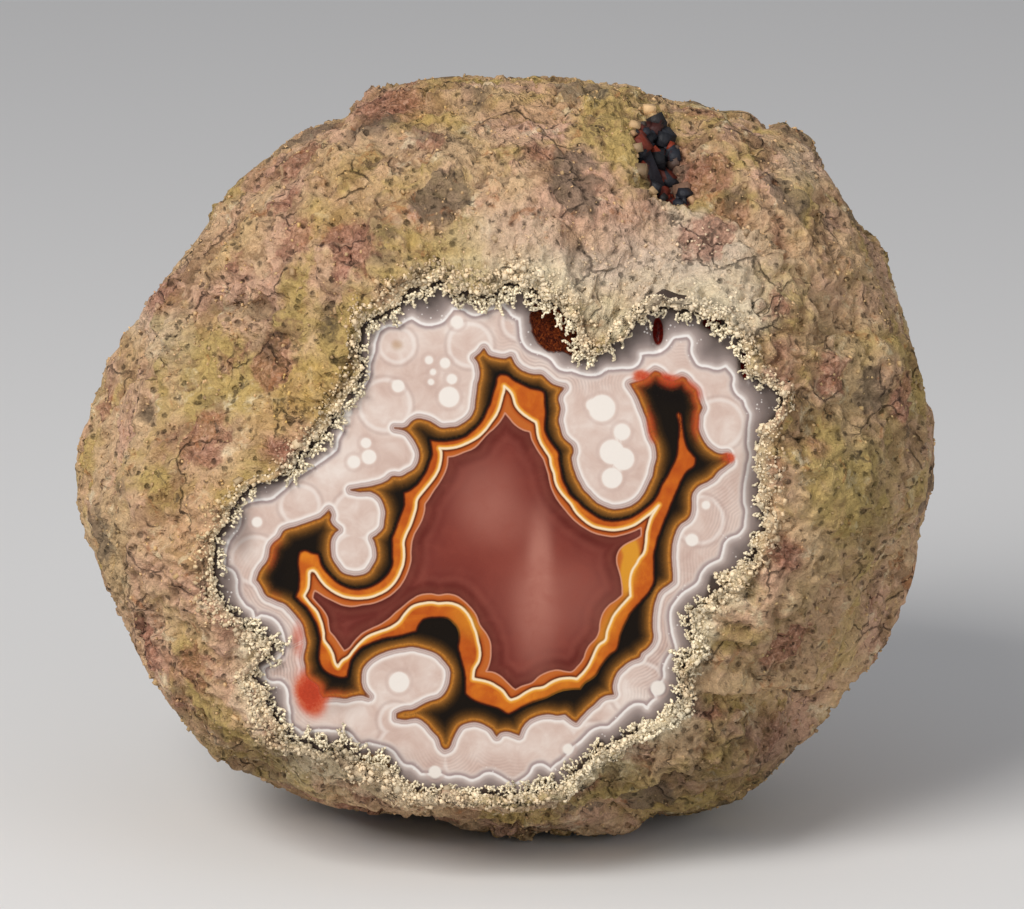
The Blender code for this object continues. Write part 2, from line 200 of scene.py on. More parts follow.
# Constants of the lattice noise: how far a seed moves the lattice, and the odd numbers that mix a
# corner's place into its slope
SEED_SHIFT = 0.37
PLACE_PRIMES = (73856093, 19349663, 83492791)
SEED_PRIME = 2654435
MIXERS = ((13, 1274126177), (15, 2246822519))
WHOLE_WORD = 0xFFFFFFFF
SLOPE_BITS = 10
SLOPE_TOP = 2 ** SLOPE_BITS - 1

# Outlines of the agate's bands, clockwise in pixels: where the white ends, where the black meets
# the orange, the cream line, and the edge of the core
WHITE_EDGE = (
    (484, 349), (488, 355), (496, 358), (505, 359), (511, 357), (513, 362), (519, 369), (526, 373),
    (534, 375), (541, 375), (546, 379), (553, 385), (564, 388), (559, 394), (558, 401), (560, 408),
    (559, 414), (558, 421), (560, 429), (562, 436), (566, 441), (572, 447), (573, 452), (571, 457),
    (572, 465), (575, 475), (579, 483), (584, 491), (589, 496), (596, 503), (604, 507), (613, 510),
    (622, 509), (632, 506), (640, 500), (645, 493), (649, 485), (653, 476), (655, 466), (657, 458),
    (657, 452), (655, 444), (651, 436), (649, 428), (647, 420), (644, 412), (641, 404), (637, 395),
    (633, 389), (630, 384), (640, 381), (645, 379), (651, 374), (655, 371), (660, 373), (664, 378),
    (671, 381), (676, 380), (682, 377), (686, 379), (690, 385), (696, 390), (698, 398), (702, 408),
    (699, 414), (698, 421), (698, 429), (701, 437), (705, 444), (711, 450), (719, 454), (727, 454),
    (728, 459), (730, 462), (723, 467), (717, 472), (713, 477), (707, 481), (699, 485), (692, 493),
    (691, 501), (691, 510), (688, 518), (680, 524), (675, 532), (672, 542), (671, 553), (671, 562),
    (672, 573), (672, 581), (667, 585), (660, 590), (655, 600), (653, 609), (652, 620), (652, 628),
    (653, 637), (651, 643), (647, 648), (641, 653), (639, 657), (631, 660), (624, 665), (617, 672),
    (613, 680), (612, 688), (613, 694), (605, 695), (600, 698), (595, 703), (589, 708), (583, 714),
    (576, 722), (570, 718), (565, 714), (558, 715), (552, 714), (544, 714), (536, 716), (527, 721),
    (522, 727), (519, 735), (514, 733), (507, 731), (499, 733), (497, 736), (492, 729), (486, 725),
    (478, 722), (470, 722), (461, 725), (456, 731), (452, 739), (449, 747), (445, 749), (442, 746),
    (439, 738), (432, 730), (425, 722), (418, 718), (412, 718), (405, 719), (397, 718), (397, 714),
    (405, 711), (413, 710), (421, 706), (429, 702), (439, 699), (445, 694), (449, 686), (451, 677),
    (450, 668), (445, 661), (439, 655), (432, 651), (422, 648), (413, 646), (404, 647), (393, 649),
    (383, 652), (375, 656), (368, 661), (362, 669), (361, 679), (362, 687), (366, 694), (369, 697),
    (363, 695), (353, 696), (345, 698), (338, 697), (330, 697), (323, 698), (319, 692), (319, 687),
    (315, 683), (309, 679), (306, 675), (306, 667), (304, 659), (305, 652), (307, 643), (305, 633),
    (303, 625), (298, 617), (292, 610), (286, 604), (279, 601), (272, 598), (267, 596), (263, 589),
    (259, 582), (257, 580), (259, 574), (263, 567), (267, 562), (270, 554), (271, 547), (275, 542),
    (280, 538), (284, 531), (288, 529), (296, 527), (305, 524), (313, 521), (321, 518), (326, 514),
    (329, 510), (331, 515), (330, 520), (333, 526), (338, 530), (334, 533), (331, 539), (330, 547),
    (331, 557), (336, 566), (342, 573), (350, 576), (360, 576), (368, 573), (373, 566), (377, 558),
    (377, 550), (375, 542), (373, 538), (379, 534), (384, 528), (385, 520), (386, 512), (384, 504),
    (380, 497), (375, 493), (368, 491), (360, 491.5), (351, 490), (360, 488.5), (369, 487),
    (380, 484.5), (389, 480), (392, 477), (400, 477), (408, 473), (415, 469), (419, 461),
    (420, 453), (417, 445), (413, 438), (407, 431), (395, 428), (406, 428), (412, 422), (418, 419),
    (428, 421), (435, 425), (441, 428), (449, 428), (457, 427), (466, 422), (472, 416), (475, 409),
    (476, 401), (477, 393), (478, 385), (480, 378), (480, 370), (478, 362), (475, 358), (480, 354),
)
BLACK_EDGE = (
    (500, 373), (507, 374), (514, 379), (522, 383), (531, 387), (540, 389), (545, 391), (546, 398),
    (546, 405), (547, 413), (546, 421), (546, 429), (549, 437), (555, 446), (560, 453), (560, 461),
    (562, 470), (564, 480), (568, 488), (572, 495), (579, 501), (585, 507), (593, 513), (604, 519),
    (613, 520), (622, 519), (632, 516), (640, 511), (648, 505), (654, 499), (658, 492), (661, 484),
    (666, 476), (670, 468), (674, 460), (676, 453), (677, 441), (678, 433), (678, 424), (675, 414),
    (678, 411), (682, 413), (683, 420), (684, 429), (686, 440), (689, 449), (692, 452), (697, 458),
    (695, 467), (688, 472), (683, 480), (678, 491), (674, 500), (670, 510), (666, 519), (663, 528),
    (659, 538), (657, 546), (655, 555), (655, 565), (655, 573), (655, 581), (652, 589), (647, 596),
    (640, 604), (632, 613), (627, 622), (624, 629), (621, 636), (620, 642), (617, 651), (610, 656),
    (606, 661), (601, 668), (597, 675), (593, 679), (585, 684), (581, 690), (573, 690), (564, 691),
    (554, 695), (546, 699), (536, 702), (527, 706), (519, 710), (512, 714), (508, 715), (499, 710),
    (490, 707), (480, 704), (471, 700), (464, 694), (464, 687), (464, 679), (463, 671), (461, 663),
    (459, 655), (457, 647), (458, 641), (458, 633), (456, 627), (453, 624), (447, 619), (436, 618.5),
    (425, 620), (420, 625), (417, 632), (404, 636), (393, 638), (383, 640), (372, 644), (362, 649),
    (356, 655), (352, 661), (350, 669), (348, 678), (342, 679), (334, 677), (326, 673), (321, 668),
    (318, 660), (318, 650), (319, 639), (317, 630), (315, 624), (311, 616), (306, 609), (299, 602),
    (294, 597), (297, 590), (298, 582), (298, 573), (297, 565), (297, 557), (299, 551), (305, 549),
    (313, 552), (319, 553), (321, 558), (323, 565), (329, 573), (336, 580), (344, 585), (353, 588),
    (362, 588), (372, 585), (380, 580), (387, 573), (391, 565), (391, 555), (391, 546), (391, 538),
    (394, 530), (397, 522), (400, 514), (403, 506), (403, 499), (403, 492), (410, 489), (417, 483),
    (422, 476), (426, 469), (429, 461), (431, 453), (430, 445), (429, 438.5), (437, 440),
    (447, 440), (456, 438.5), (464, 436), (472, 430), (478, 424), (483, 417), (486, 410),
    (489, 404), (491, 397), (493, 390), (495, 383), (496, 377),
)
CREAM_LINE = (
    (504, 386), (510, 391), (513, 396), (515, 404), (519, 410), (526, 416), (534, 421), (536, 422),
    (537, 427), (538, 435), (541, 443), (546, 451), (550, 458), (551, 465), (554, 473), (556, 483),
    (560, 491), (565, 497), (571, 504), (576, 512), (584, 520), (593, 526), (604, 529), (615, 530),
    (626, 528), (636, 524), (644, 518), (652, 512), (659, 505), (655, 511), (651, 518), (649, 524),
    (647, 532), (646, 543), (644, 553), (639, 559), (637, 563), (632, 571), (630, 580), (630, 588),
    (630.5, 596), (625, 602), (618, 610), (613, 617), (610, 624), (607, 632), (605.5, 640),
    (599, 645), (595, 652), (593, 657), (589, 665), (583, 673), (577, 679), (569, 678), (560, 679),
    (552, 682), (544, 687), (533, 689), (525, 693), (517, 698), (511, 700), (508, 698), (503, 691),
    (496, 686), (488, 682), (480, 680), (473, 679), (474, 670), (476, 666), (479, 660), (480, 652),
    (478, 642), (476, 633), (474, 628), (471, 620), (466, 612), (459, 606), (449, 603),
    (438.5, 603.5), (432, 602.5), (420, 604), (412, 607), (405, 614), (399, 622), (390, 628),
    (379, 632), (369, 636), (361, 642), (353, 651), (348, 657), (342, 661), (338, 667), (335.5, 664),
    (333, 655), (329, 647), (324, 640), (323.5, 633), (322, 625), (320.5, 620), (317, 612),
    (310, 604), (304, 596), (308, 588), (309, 580), (309, 571.5), (313, 570), (315.5, 572),
    (319.5, 578), (326, 586), (336, 593), (346, 597), (358, 598.4), (370.5, 597), (381, 593),
    (389, 588), (396, 580), (401, 570), (403.5, 561), (404, 551), (403.5, 542), (406, 534),
    (410, 526), (414, 514), (416, 506), (417, 499.5), (422.5, 492), (429, 484), (435, 476),
    (439, 468), (441, 458), (440.5, 450), (439.5, 448.3), (449.5, 448.3), (460, 446), (471, 441),
    (479, 436), (486, 429), (491, 422), (496.5, 414), (500, 405), (502, 397), (504, 390),
)
CORE_EDGE = (
    (505, 413), (509, 418), (515, 425), (523, 430), (530, 432), (531.5, 439), (535, 446),
    (538.5, 452), (543, 458.5), (545, 464), (548, 473), (550, 483), (553, 492), (558, 501),
    (566, 511), (573, 519), (583, 527), (593, 532.5), (604, 535.5), (613, 536.7), (622, 535),
    (632, 532), (641, 528), (641, 536), (633, 540.5), (625, 544.5), (620, 549), (617, 555),
    (616.5, 562), (618.5, 570), (620.5, 577), (622, 588), (622, 595), (616, 600), (609, 605),
    (603, 613), (600, 622), (599, 631), (596, 638), (589.5, 645), (585.5, 652), (583.5, 658.5),
    (577, 667), (572, 671.5), (566, 671.4), (558, 670), (549, 671.4), (539.5, 676), (531.5, 683),
    (522, 686), (515.5, 689.6), (512.5, 687.6), (507, 682), (500.5, 676), (492.5, 672), (486, 671.4),
    (488, 668), (490.5, 660), (491, 650.6), (490, 641), (486, 633), (480, 625), (476, 614.5),
    (471, 608), (464, 601), (456, 595.7), (448, 594), (438.5, 595), (430.5, 593.7), (420, 595),
    (411.5, 599.5), (403, 606.5), (395, 613), (389, 618.6), (381, 624), (370, 629), (361, 634.5),
    (354.5, 641), (349, 648), (344.3, 650.6), (339.6, 644), (334, 636), (330, 631.5), (328.8, 625.5),
    (327.5, 617), (323.5, 610.5), (318, 604), (312.7, 597.8), (313.3, 595), (314.7, 590.4),
    (318, 592.4), (325, 597), (333, 601), (342, 605), (352, 606.5), (362.5, 605), (374.5, 603),
    (385.5, 598.4), (395, 591.7), (403, 582), (408, 571.5), (411, 561), (411, 553), (412, 542),
    (414.5, 534), (419, 526), (422, 520), (424.5, 511), (425.2, 504), (428, 500), (433, 492),
    (438.5, 484), (444, 474.6), (447.5, 465), (448, 457), (455, 456), (464, 452.4), (475, 447.5),
    (483, 439), (488.5, 433), (494, 428.5), (500.5, 421), (504.6, 414.4),
)

# The scalloped white line a little inside the rim, counterclockwise from the upper left
SCALLOP_LINE = (
    (296, 477), (291, 481), (286, 487), (280, 492), (271, 499), (259, 500), (245, 504), (240, 511),
    (241, 520), (237, 531), (230, 539), (226, 552), (225, 567), (232, 570), (237, 580), (237, 588),
    (239, 596), (245, 605), (252, 610), (255, 619), (261, 615), (270, 617), (278, 623), (283, 633),
    (285, 642), (283, 651), (279, 658), (272, 664), (263, 668), (266, 679), (272, 682), (280, 682),
    (286, 687), (288, 695), (288, 703), (290, 712), (290, 719), (292, 725), (298, 729), (302, 733),
    (311, 731), (318, 730), (326, 730), (337, 731), (345, 731), (350, 734), (356, 741), (361, 745),
    (369, 743), (377, 745), (385, 747), (393, 751), (397, 756), (401, 762), (405, 765), (412, 766),
    (417, 770), (421, 774), (429, 774), (435, 773), (441, 774), (448, 777), (456, 776), (464, 777),
    (471, 780), (478, 778), (484, 774), (491, 773), (499, 776), (505, 780), (509, 782), (512, 787),
    (515, 784), (522, 780), (529, 774), (533, 767), (540, 764), (546, 766), (551, 770), (554, 766),
    (561, 761), (568, 754), (573, 747.5), (579, 743), (584, 738), (591, 731), (600, 727), (608, 727),
    (614, 722), (621, 715), (628, 708), (635, 704), (643, 704), (647, 708), (649, 704), (656, 698),
    (652, 690), (659, 684), (664, 677), (663.5, 669), (666, 661), (671, 653), (676, 649), (675, 644),
    (672, 634), (671, 627), (670, 617), (671, 609), (676, 601), (683, 593), (691, 588), (698, 582),
    (701, 574), (706, 567), (713, 563), (721, 559), (723, 551), (725, 543), (730, 538), (738, 535),
    (744, 528), (745, 520), (746, 511), (744, 503), (744, 495), (744, 487), (746, 477), (748, 466),
    (750, 456), (748, 445), (748, 435), (749, 424), (750, 414), (746, 406), (744, 400), (736, 393),
    (733, 385), (734, 377), (726, 366), (718, 369), (709, 367), (699, 365), (694, 359), (691, 351),
    (692, 342), (688, 336), (680, 337), (674, 338), (670, 343), (666, 348), (657, 353), (649, 353),
    (641, 354), (641, 358), (637, 365), (631, 368), (622, 368), (613, 369), (607, 369), (601, 373),
    (596, 375), (587, 375), (579, 373), (572, 370.6), (564, 370.6), (557, 367), (552, 360.5),
    (546, 356.5), (540, 354), (531, 351), (525, 346), (521, 338), (520, 327), (519, 319), (511, 315),
    (509, 312), (505, 308), (502, 304), (499, 307), (491, 309), (483, 313), (476, 315.5), (470, 314),
    (464, 310), (453, 309), (449, 315), (442, 322), (432, 325), (422, 324), (412, 318), (404, 322),
    (398, 326), (388, 326), (380, 331), (376, 340), (374, 352), (370, 364), (369, 377), (362, 389),
    (354, 401), (348, 412), (344, 420), (343, 430), (338, 440), (336, 450), (326, 458), (316, 465),
    (306, 471),
)


def polar_table(outline):
    """Radius of an outline about the window's middle, in pixels, at each table angle."""
    points = np.array(outline, dtype=float)
    across = points[:, 0] - WINDOW_MIDDLE[0]
    up = WINDOW_MIDDLE[1] - points[:, 1]
    angle = np.arctan2(up, across) % (2.0 * math.pi)
    order = np.argsort(angle)
    radius = np.hypot(across, up)
    return np.interp(TABLE_ANGLES, angle[order], radius[order], period=2.0 * math.pi)


def softened(table, spread):
    """A table without its detail: each of its waves is weakened by a bell of the spread's width."""
    waves = np.fft.rfft(table)
    count = np.arange(len(waves))
    return np.fft.irfft(waves * np.exp(-0.5 * (count * spread) ** 2), len(table))


def at(table, angle):
    """A table's value at any angle."""
    return np.interp(angle, TABLE_ANGLES, table, period=2.0 * math.pi)


TABLE_ANGLES = np.linspace(0.0, 2.0 * math.pi, 720, endpoint=False)
METRES_PER_PIXEL = STONE_WIDTH / (max(p[0] for p in OUTLINE) - min(p[0] for p in OUTLINE))
OUTLINE_TABLE = polar_table(OUTLINE)
OUTLINE_SOFT = softened(OUTLINE_TABLE, OUTLINE_SPREAD)
RIM_TABLE = polar_table(RIM)
RIM_SOFT = softened(RIM_TABLE, RIM_SPREAD)

# White eyes of the agate: middle x and y and radius in pixels
EYES = (
    (602, 408, 13), (592, 405, 6), (622, 432, 8), (612, 452, 12), (623, 459, 11), (612, 478, 10),
    (399, 682, 10), (366, 443, 5), (369, 457, 7), (354, 462, 6), (449, 397, 10), (452, 379, 5),
    (445, 363, 5), (429, 360, 4), (433, 372, 3), (431, 382, 3), (457, 322, 6), (398, 386, 6),
    (257, 522, 5), (706, 505, 4), (692, 540, 6), (568, 749, 5), (658, 688, 7), (435, 772, 6),
    (344, 402, 4), (347, 412, 5), (346, 421, 4),
)

# Round lobes of white agate, each with a paler disc in its middle: middle x and y and radius
LOBES = (
    (353, 552, 21), (358, 515, 27), (397, 345, 20), (719, 424, 27), (425, 300, 24), (412, 755, 38),
    (477, 757, 36), (507, 757, 26), (546, 750, 36), (640, 690, 30), (677, 325, 13), (705, 347, 12),
    (745, 387, 10), (767, 404, 16), (262, 650, 18), (470, 345, 24), (520, 322, 20), (300, 505, 22),
    (700, 520, 26), (590, 745, 24), (255, 560, 26), (385, 405, 28), (395, 720, 18),
)

# Soft spots of colour on the agate and on the front rind: middle x and y, half length and half
# breadth in pixels, the turn of the length below the horizontal in degrees, and the strength
SPOT_FLATNESS = 2.0
WINDOW_SPOT_FLATNESS = 1.5
SPOTS = {
    "red": (
        (668, 388, 34, 15, 12, 1.0), (653, 420, 7, 24, 0, 0.8), (694, 420, 6, 24, 0, 0.8),
        (277, 567, 9, 28, 0, 0.75), (310, 694, 17, 26, -20, 0.9), (330, 690, 22, 9, 0, 0.6),
        (728, 458, 8, 6, 0, 0.9), (298, 640, 8, 24, 0, 0.5), (640, 375, 8, 6, 0, 0.6),
    ),
    "pocket": ((553, 332, 25, 21, 35, 1.0), (575, 346, 12, 10, 30, 1.0), (545, 316, 16, 12, 30, 0.9)),
    "slot": ((658, 333, 6, 16, 0, 1.0), (746, 366, 6, 16, 0, 1.0), (712, 324, 12, 8, 0, 0.8)),
    "amber": (
        (376, 762, 18, 7, 20, 0.8), (408, 788, 10, 7, 40, 0.8), (590, 352, 9, 9, 0, 0.9),
        (397, 345, 9, 8, 0, 0.5),
    ),
    "yellow": (
        (630, 568, 9, 24, 10, 1.0), (628, 545, 8, 10, 0, 0.8), (466, 622, 22, 12, 50, 0.5),
        (608, 628, 12, 40, 25, 0.35), (560, 688, 40, 8, -15, 0.35),
    ),
    "glow": (
        (485, 490, 34, 30, -40, 0.35), (540, 560, 12, 46, 0, 0.75), (536, 612, 22, 60, 0, 0.45),
        (500, 520, 40, 26, 0, 0.3), (560, 600, 60, 40, 0, 0.25),
    ),
    "stripe": (
        (272, 650, 34, 80, -20, 1.0), (560, 364, 60, 22, 15, 0.9), (672, 640, 30, 80, 15, 1.0),
        (470, 770, 90, 16, 5, 0.5), (725, 520, 18, 60, 0, 0.6), (700, 350, 40, 18, 20, 0.5),
    ),
    "cloud": (
        (540, 360, 30, 18, 20, 0.5), (455, 340, 40, 30, 0, 0.4), (500, 750, 120, 18, 0, 0.6),
        (640, 700, 30, 26, -30, 0.7), (720, 430, 26, 26, 0, 0.6), (330, 440, 30, 50, -30, 0.6),
    ),
    # Painted shadow on the agate's margin where the rind's lip overhangs it.
    "gloom": (
        (240, 530, 14, 26, 0, 0.9), (528, 298, 34, 14, 5, 0.8), (350, 752, 50, 12, 8, 0.8),
        (330, 705, 30, 10, 0, 0.3), (752, 470, 10, 60, 0, 0.6), (225, 590, 14, 30, 0, 0.7),
    ),
    "rust": (
        (388, 106, 42, 24, -8, 1.0), (165, 298, 22, 12, -60, 0.8), (262, 172, 26, 12, -40, 0.5),
        (275, 452, 20, 15, -15, 1.0), (787, 555, 22, 18, 20, 1.0), (550, 160, 28, 9, -5, 0.8),
        (590, 188, 14, 9, 0, 0.7), (650, 205, 22, 12, 25, 0.5), (797, 362, 20, 32, 0, 0.5),
        (775, 462, 12, 10, 0, 0.7), (820, 448, 10, 12, 0, 0.6), (175, 665, 20, 10, 40, 0.6),
        (185, 700, 16, 9, 50, 0.7), (230, 640, 18, 11, 30, 0.6), (702, 724, 32, 7, 0, 1.0),
        (775, 748, 38, 9, -35, 0.7), (692, 162, 14, 30, -30, 1.0), (735, 205, 26, 8, 30, 0.7),
        (788, 232, 18, 8, 50, 0.7), (330, 200, 24, 9, 30, 0.4), (160, 440, 16, 26, 20, 0.5),
    ),
    # Dark stains on the rind, and painted shade in the hollows and creases that several of these spots sit
    # in.
    "stain": (
        (330, 325, 8, 16, 0, 1.0), (245, 307, 50, 9, 8, 0.55), (390, 240, 15, 12, 0, 0.7),
        (388, 266, 14, 8, 0, 0.6), (365, 134, 22, 8, -40, 0.7), (430, 138, 38, 8, 20, 0.6),
        (478, 103, 14, 7, 0, 0.8), (139, 410, 8, 10, 0, 0.9), (125, 488, 8, 10, 0, 0.7),
        (655, 155, 18, 26, -20, 1.0), (672, 178, 26, 12, 30, 1.0), (735, 195, 14, 7, 30, 0.8),
        (265, 347, 14, 9, 0, 0.6), (200, 400, 12, 9, 0, 0.4), (720, 300, 26, 9, 20, 0.4),
    ),
    "pale": (
        (690, 275, 92, 46, 8, 0.9), (570, 275, 60, 22, 0, 0.6), (505, 245, 60, 26, 0, 0.35),
        (700, 220, 60, 20, 20, 0.6), (752, 312, 24, 30, 30, 0.7), (150, 330, 30, 34, -50, 0.35),
        (800, 165, 26, 26, 0, 0.3), (420, 780, 90, 20, 8, 0.35),
    ),
    "ochre": (
        (290, 400, 58, 34, -40, 0.9), (130, 345, 16, 20, -40, 0.6), (430, 115, 40, 20, 0, 0.6),
        (330, 232, 36, 20, -30, 0.7), (200, 520, 50, 60, 0, 0.5), (540, 110, 60, 18, 0, 0.5),
        (360, 180, 60, 24, 20, 0.4), (240, 245, 40, 26, -40, 0.5),
    ),
    "olive": (
        (870, 480, 60, 130, 5, 0.8), (800, 640, 90, 60, -35, 0.8), (860, 300, 34, 70, 0, 0.5),
        (640, 800, 80, 26, 0, 0.6), (110, 560, 30, 70, -10, 0.5), (190, 720, 40, 60, -50, 0.5),
    ),
    # Painted shade: darker where the underside, the ledge under the lip and the lower crease face away from
    # the light.
    "shade": (
        (740, 768, 90, 34, -20, 1.0), (560, 815, 60, 20, 0, 0.3), (340, 752, 70, 12, 12, 0.8),
        (690, 716, 40, 10, 0, 0.7), (250, 770, 60, 14, 10, 0.4),
    ),
    "cream": (
        (430, 800, 150, 16, 10, 0.4), (600, 775, 60, 26, -30, 0.9), (665, 725, 44, 30, -35, 1.0),
        (700, 640, 20, 44, 0, 0.9), (725, 590, 30, 24, -30, 0.7), (300, 765, 50, 22, 15, 0.7),
        (252, 700, 16, 40, -20, 0.7), (250, 650, 24, 16, 0, 0.8), (560, 290, 60, 24, 15, 0.6),
        (720, 300, 50, 24, 25, 0.7), (470, 275, 60, 14, 0, 0.4), (620, 320, 40, 24, 0, 0.7),
    ),
    "crystal": ((662, 150, 26, 34, -25, 1.0), (684, 178, 20, 10, 30, 0.9)),
    "fringe": (
        (520, 295, 60, 16, 10, 1.0), (620, 335, 60, 24, -20, 0.7), (730, 340, 40, 30, 40, 0.6),
        (400, 320, 50, 30, -30, 0.6), (300, 445, 60, 16, -40, 0.5), (262, 650, 30, 20, 0, 1.0),
        (340, 750, 60, 14, 10, 0.7), (690, 690, 20, 60, 10, 0.7), (560, 785, 80, 12, -10, 0.6),
    ),
}

# The window's fine lip, from under the agate's margin up to the front rind: its track, how far it
# stands out from the rim in pixels, and its rise over the face in metres
LIP_TRACKS = (0.0, 0.25, 0.45, 0.6, 0.75, 1.0)
LIP_OFFSETS = (4.0, 4.0, 2.0, 0.0, 3.0, 11.0)
LIP_RISES = (-0.0040, -0.0004, 0.0004, 0.0010, 0.0014, 0.0016)

# Fine mesh of the rind: slices of the front and the back, rings of each stretch, the ring where
# the front's two pieces part, the track where front and back part, and how deep hidden rings lie
FRONT_SLICES = 1080
BACK_SLICES = 600
LIP_RINGS = 20
FRONT_RINGS = 134
SIDE_RINGS = 18
BACK_RINGS = 104
INNER_RINGS = 86
PARTING_TRACK = 3.12
HIDDEN_DEPTHS = (0.00008, 0.0006)
HIDDEN_TRACKS = (0.006, 0.012)
TRACK_TESTS = 400
TEST_ANGLES = TABLE_ANGLES[::20]

# Mesh of the agate: slices and rings, how far its margin runs under the lip in pixels, how far that
# margin dips, and the agate's thickness
FACE_SLICES = 704
FACE_RINGS = 128
MARGIN_RINGS = 8
MARGIN_REACH = 14.0
MARGIN_DIP = 0.0016
AGATE_THICKNESS = 0.003
MARGIN_ROUNDING = 1.5

# The pocket and the slots in the agate: how deep they are, and the height, wavelength and seed of
# their rough floors
POCKET_DEPTH = 0.0011
SLOT_DEPTH = 0.0012
POCKET_ROUGHNESS = 0.0006
POCKET_NOISE = (0.0012, 97)

# Outlines in finer steps: parts of each run, and the turn past which a point stays sharp
OUTLINE_PARTS = 3
SHARP_TURN = math.radians(45)

# A skin's bake map: the disc's reach, and that of the fan round it
DISC_REACH = 0.47
DISC_EDGE = 0.495

# The fringe of grains on the agate: steps of a branch, its shortest, a step in pixels, how far a
# branch strays at each step and leans as a whole, where it starts outward of the rim in pixels, and
# how high it lies over the agate
FRINGE_STEPS = 9
FRINGE_SHORT = 2.5
FRINGE_STEP = 2.6
FRINGE_STRAY = 0.55
FRINGE_LEAN = 0.5
FRINGE_START = (-3.0, 1.0)
FRINGE_LIFT = 0.0009

# Grains of the rind: their spread in size, their least and most half size as a part of the mean,
# the pit's crystals, and the seed of each kind
GRAIN_SPREAD = 0.35
GRAIN_HALVES = (0.5, 1.5)
CRYSTAL_COUNT = 260
CRYSTAL_SIZE = 4.0
LIP_SEED = 101
RIND_SEED = 103
CRYSTAL_SEED = 109
FRINGE_SEED = 127

# A box's corners, its six sides, and the part of a sixth of its bake cell that each side fills
BOX_CORNERS = tuple((x, y, z) for x in (-1, 1) for y in (-1, 1) for z in (-1, 1))
BOX_SIDES = ((0, 1, 3, 2), (4, 6, 7, 5), (0, 4, 5, 1), (2, 3, 7, 6), (0, 2, 6, 4), (1, 5, 7, 3))
BOX_PATCH = ((0.02, 0.03), (0.31, 0.03), (0.31, 0.47), (0.02, 0.47))

# Tones are named as they look in the stage's light, and these turn them into surface colours
RIND_BRIGHTNESS = 1.12
AGATE_BRIGHTNESS = 0.80

# The stage: places, sizes and tints of its two lights, and the tint of the sky
KEY_PLACE = (-0.42, -0.62, 0.62)
KEY_SIZE = 0.45
KEY_TINT = (1.0, 0.985, 0.96)
FILL_PLACE = (0.60, -0.55, 0.25)
FILL_SIZE = 0.5
FILL_TINT = (0.96, 0.98, 1.0)
SKY_TINT = (0.93, 0.95, 1.0, 1.0)
NEAREST_SEEN = 0.01

FLOOR_RADIUS = 4.0
FLOOR_SIDES = 96
FLOOR_MOTTLE = 0.8
FLOOR_DIM = 0.97

# Rounded cells: how far each one's middle strays in its own cell, and how far its dome reaches
CELL_STRAY = 0.9
CELL_REACH = 0.8
CELL_MEAN = 0.72


def corner_numbers(corner, seed):
    """Three steady random numbers from -1 to 1 for each corner of a cubic lattice."""
    mixed = np.bitwise_xor.reduce(corner * PLACE_PRIMES, axis=-1) ^ seed * SEED_PRIME
    for turn, mixer in MIXERS:
        mixed = (mixed ^ mixed >> turn) * mixer & WHOLE_WORD
    parts = [mixed >> SLOPE_BITS * axis & SLOPE_TOP for axis in range(3)]
    return np.stack(parts, axis=-1) * 2.0 / SLOPE_TOP - 1.0


def lattice_noise(points, wavelength, seed):
    """Smooth noise from -1 to 1: slopes drawn at the corners of a cubic lattice and blended."""
    scaled = points / wavelength + seed * SEED_SHIFT
    cell = np.floor(scaled).astype(np.int64)
    inside = scaled - cell
    blend = inside ** 3 * (inside * (inside * 6.0 - 15.0) + 10.0)
    total = np.zeros(len(points))
    for corner in range(8):
        step = np.array((corner & 1, corner >> 1 & 1, corner >> 2 & 1))
        slope = corner_numbers(cell + step, seed)
        weight = np.prod(np.where(step == 1, blend, 1.0 - blend), axis=-1)
        total += weight * np.sum(slope * (inside - step), axis=-1)
    return total


def rounded_cells(points, wavelength, seed):
    """Domes round scattered middles: the root of one less the squared distance to the nearest."""
    scaled = points / wavelength + seed * SEED_SHIFT
    cell = np.floor(scaled).astype(np.int64)
    inside = scaled - cell
    nearest = np.full(len(points), np.inf)
    for place in np.ndindex(3, 3, 3):
        step = np.array(place) - 1
        middle = step + 0.5 + 0.5 * CELL_STRAY * corner_numbers(cell + step, seed)
        nearest = np.minimum(nearest, np.sum((inside - middle) ** 2, axis=-1))
    return np.sqrt(np.maximum(1.0 - nearest / CELL_REACH, 0.0)) - CELL_MEAN


def world_point(pixel_x, pixel_y, toward):
    """Place of a pixel at a depth towards the viewer, in world axes about the view's middle."""
    shrink = 1.0 - toward / VIEW_DISTANCE
    across = (pixel_x - VIEW_MIDDLE[0]) * METRES_PER_PIXEL * shrink
    up = (VIEW_MIDDLE[1] - pixel_y) * METRES_PER_PIXEL * shrink
    sine = math.sin(VIEW_ELEVATION)
    cosine = math.cos(VIEW_ELEVATION)
    return np.stack((across, up * sine - toward * cosine, up * cosine + toward * sine), axis=-1)


def face_depth(pixel_y):
    """Depth towards the viewer of the upright face plane, along the ray of a pixel's height."""
    up = (VIEW_MIDDLE[1] - pixel_y) * METRES_PER_PIXEL
    sine = math.sin(VIEW_ELEVATION)
    cosine = math.cos(VIEW_ELEVATION)
    return (FACE_FORWARD + up * sine) / (cosine + up * sine / VIEW_DISTANCE)


def bell_over(pixel_x, pixel_y, spot, flatness):
    """A bell over a turned ellipse of pixels, one in its middle."""
    middle_x, middle_y, half_length, half_breadth, turn = spot
    cosine = math.cos(math.radians(turn))
    sine = math.sin(math.radians(turn))
    along = ((pixel_x - middle_x) * cosine + (pixel_y - middle_y) * sine) / half_length
    aside = ((pixel_y - middle_y) * cosine - (pixel_x - middle_x) * sine) / half_breadth
    return np.exp(-(along ** 2 + aside ** 2) ** flatness)


def spot_strength(pixel_x, pixel_y, name, flatness):
    """How strongly the named spots colour a place: one less the product of what each leaves."""
    left = np.ones(np.shape(pixel_x))
    for *spot, strength in SPOTS[name]:
        left = left * (1.0 - strength * bell_over(pixel_x, pixel_y, spot, flatness))
    return 1.0 - left


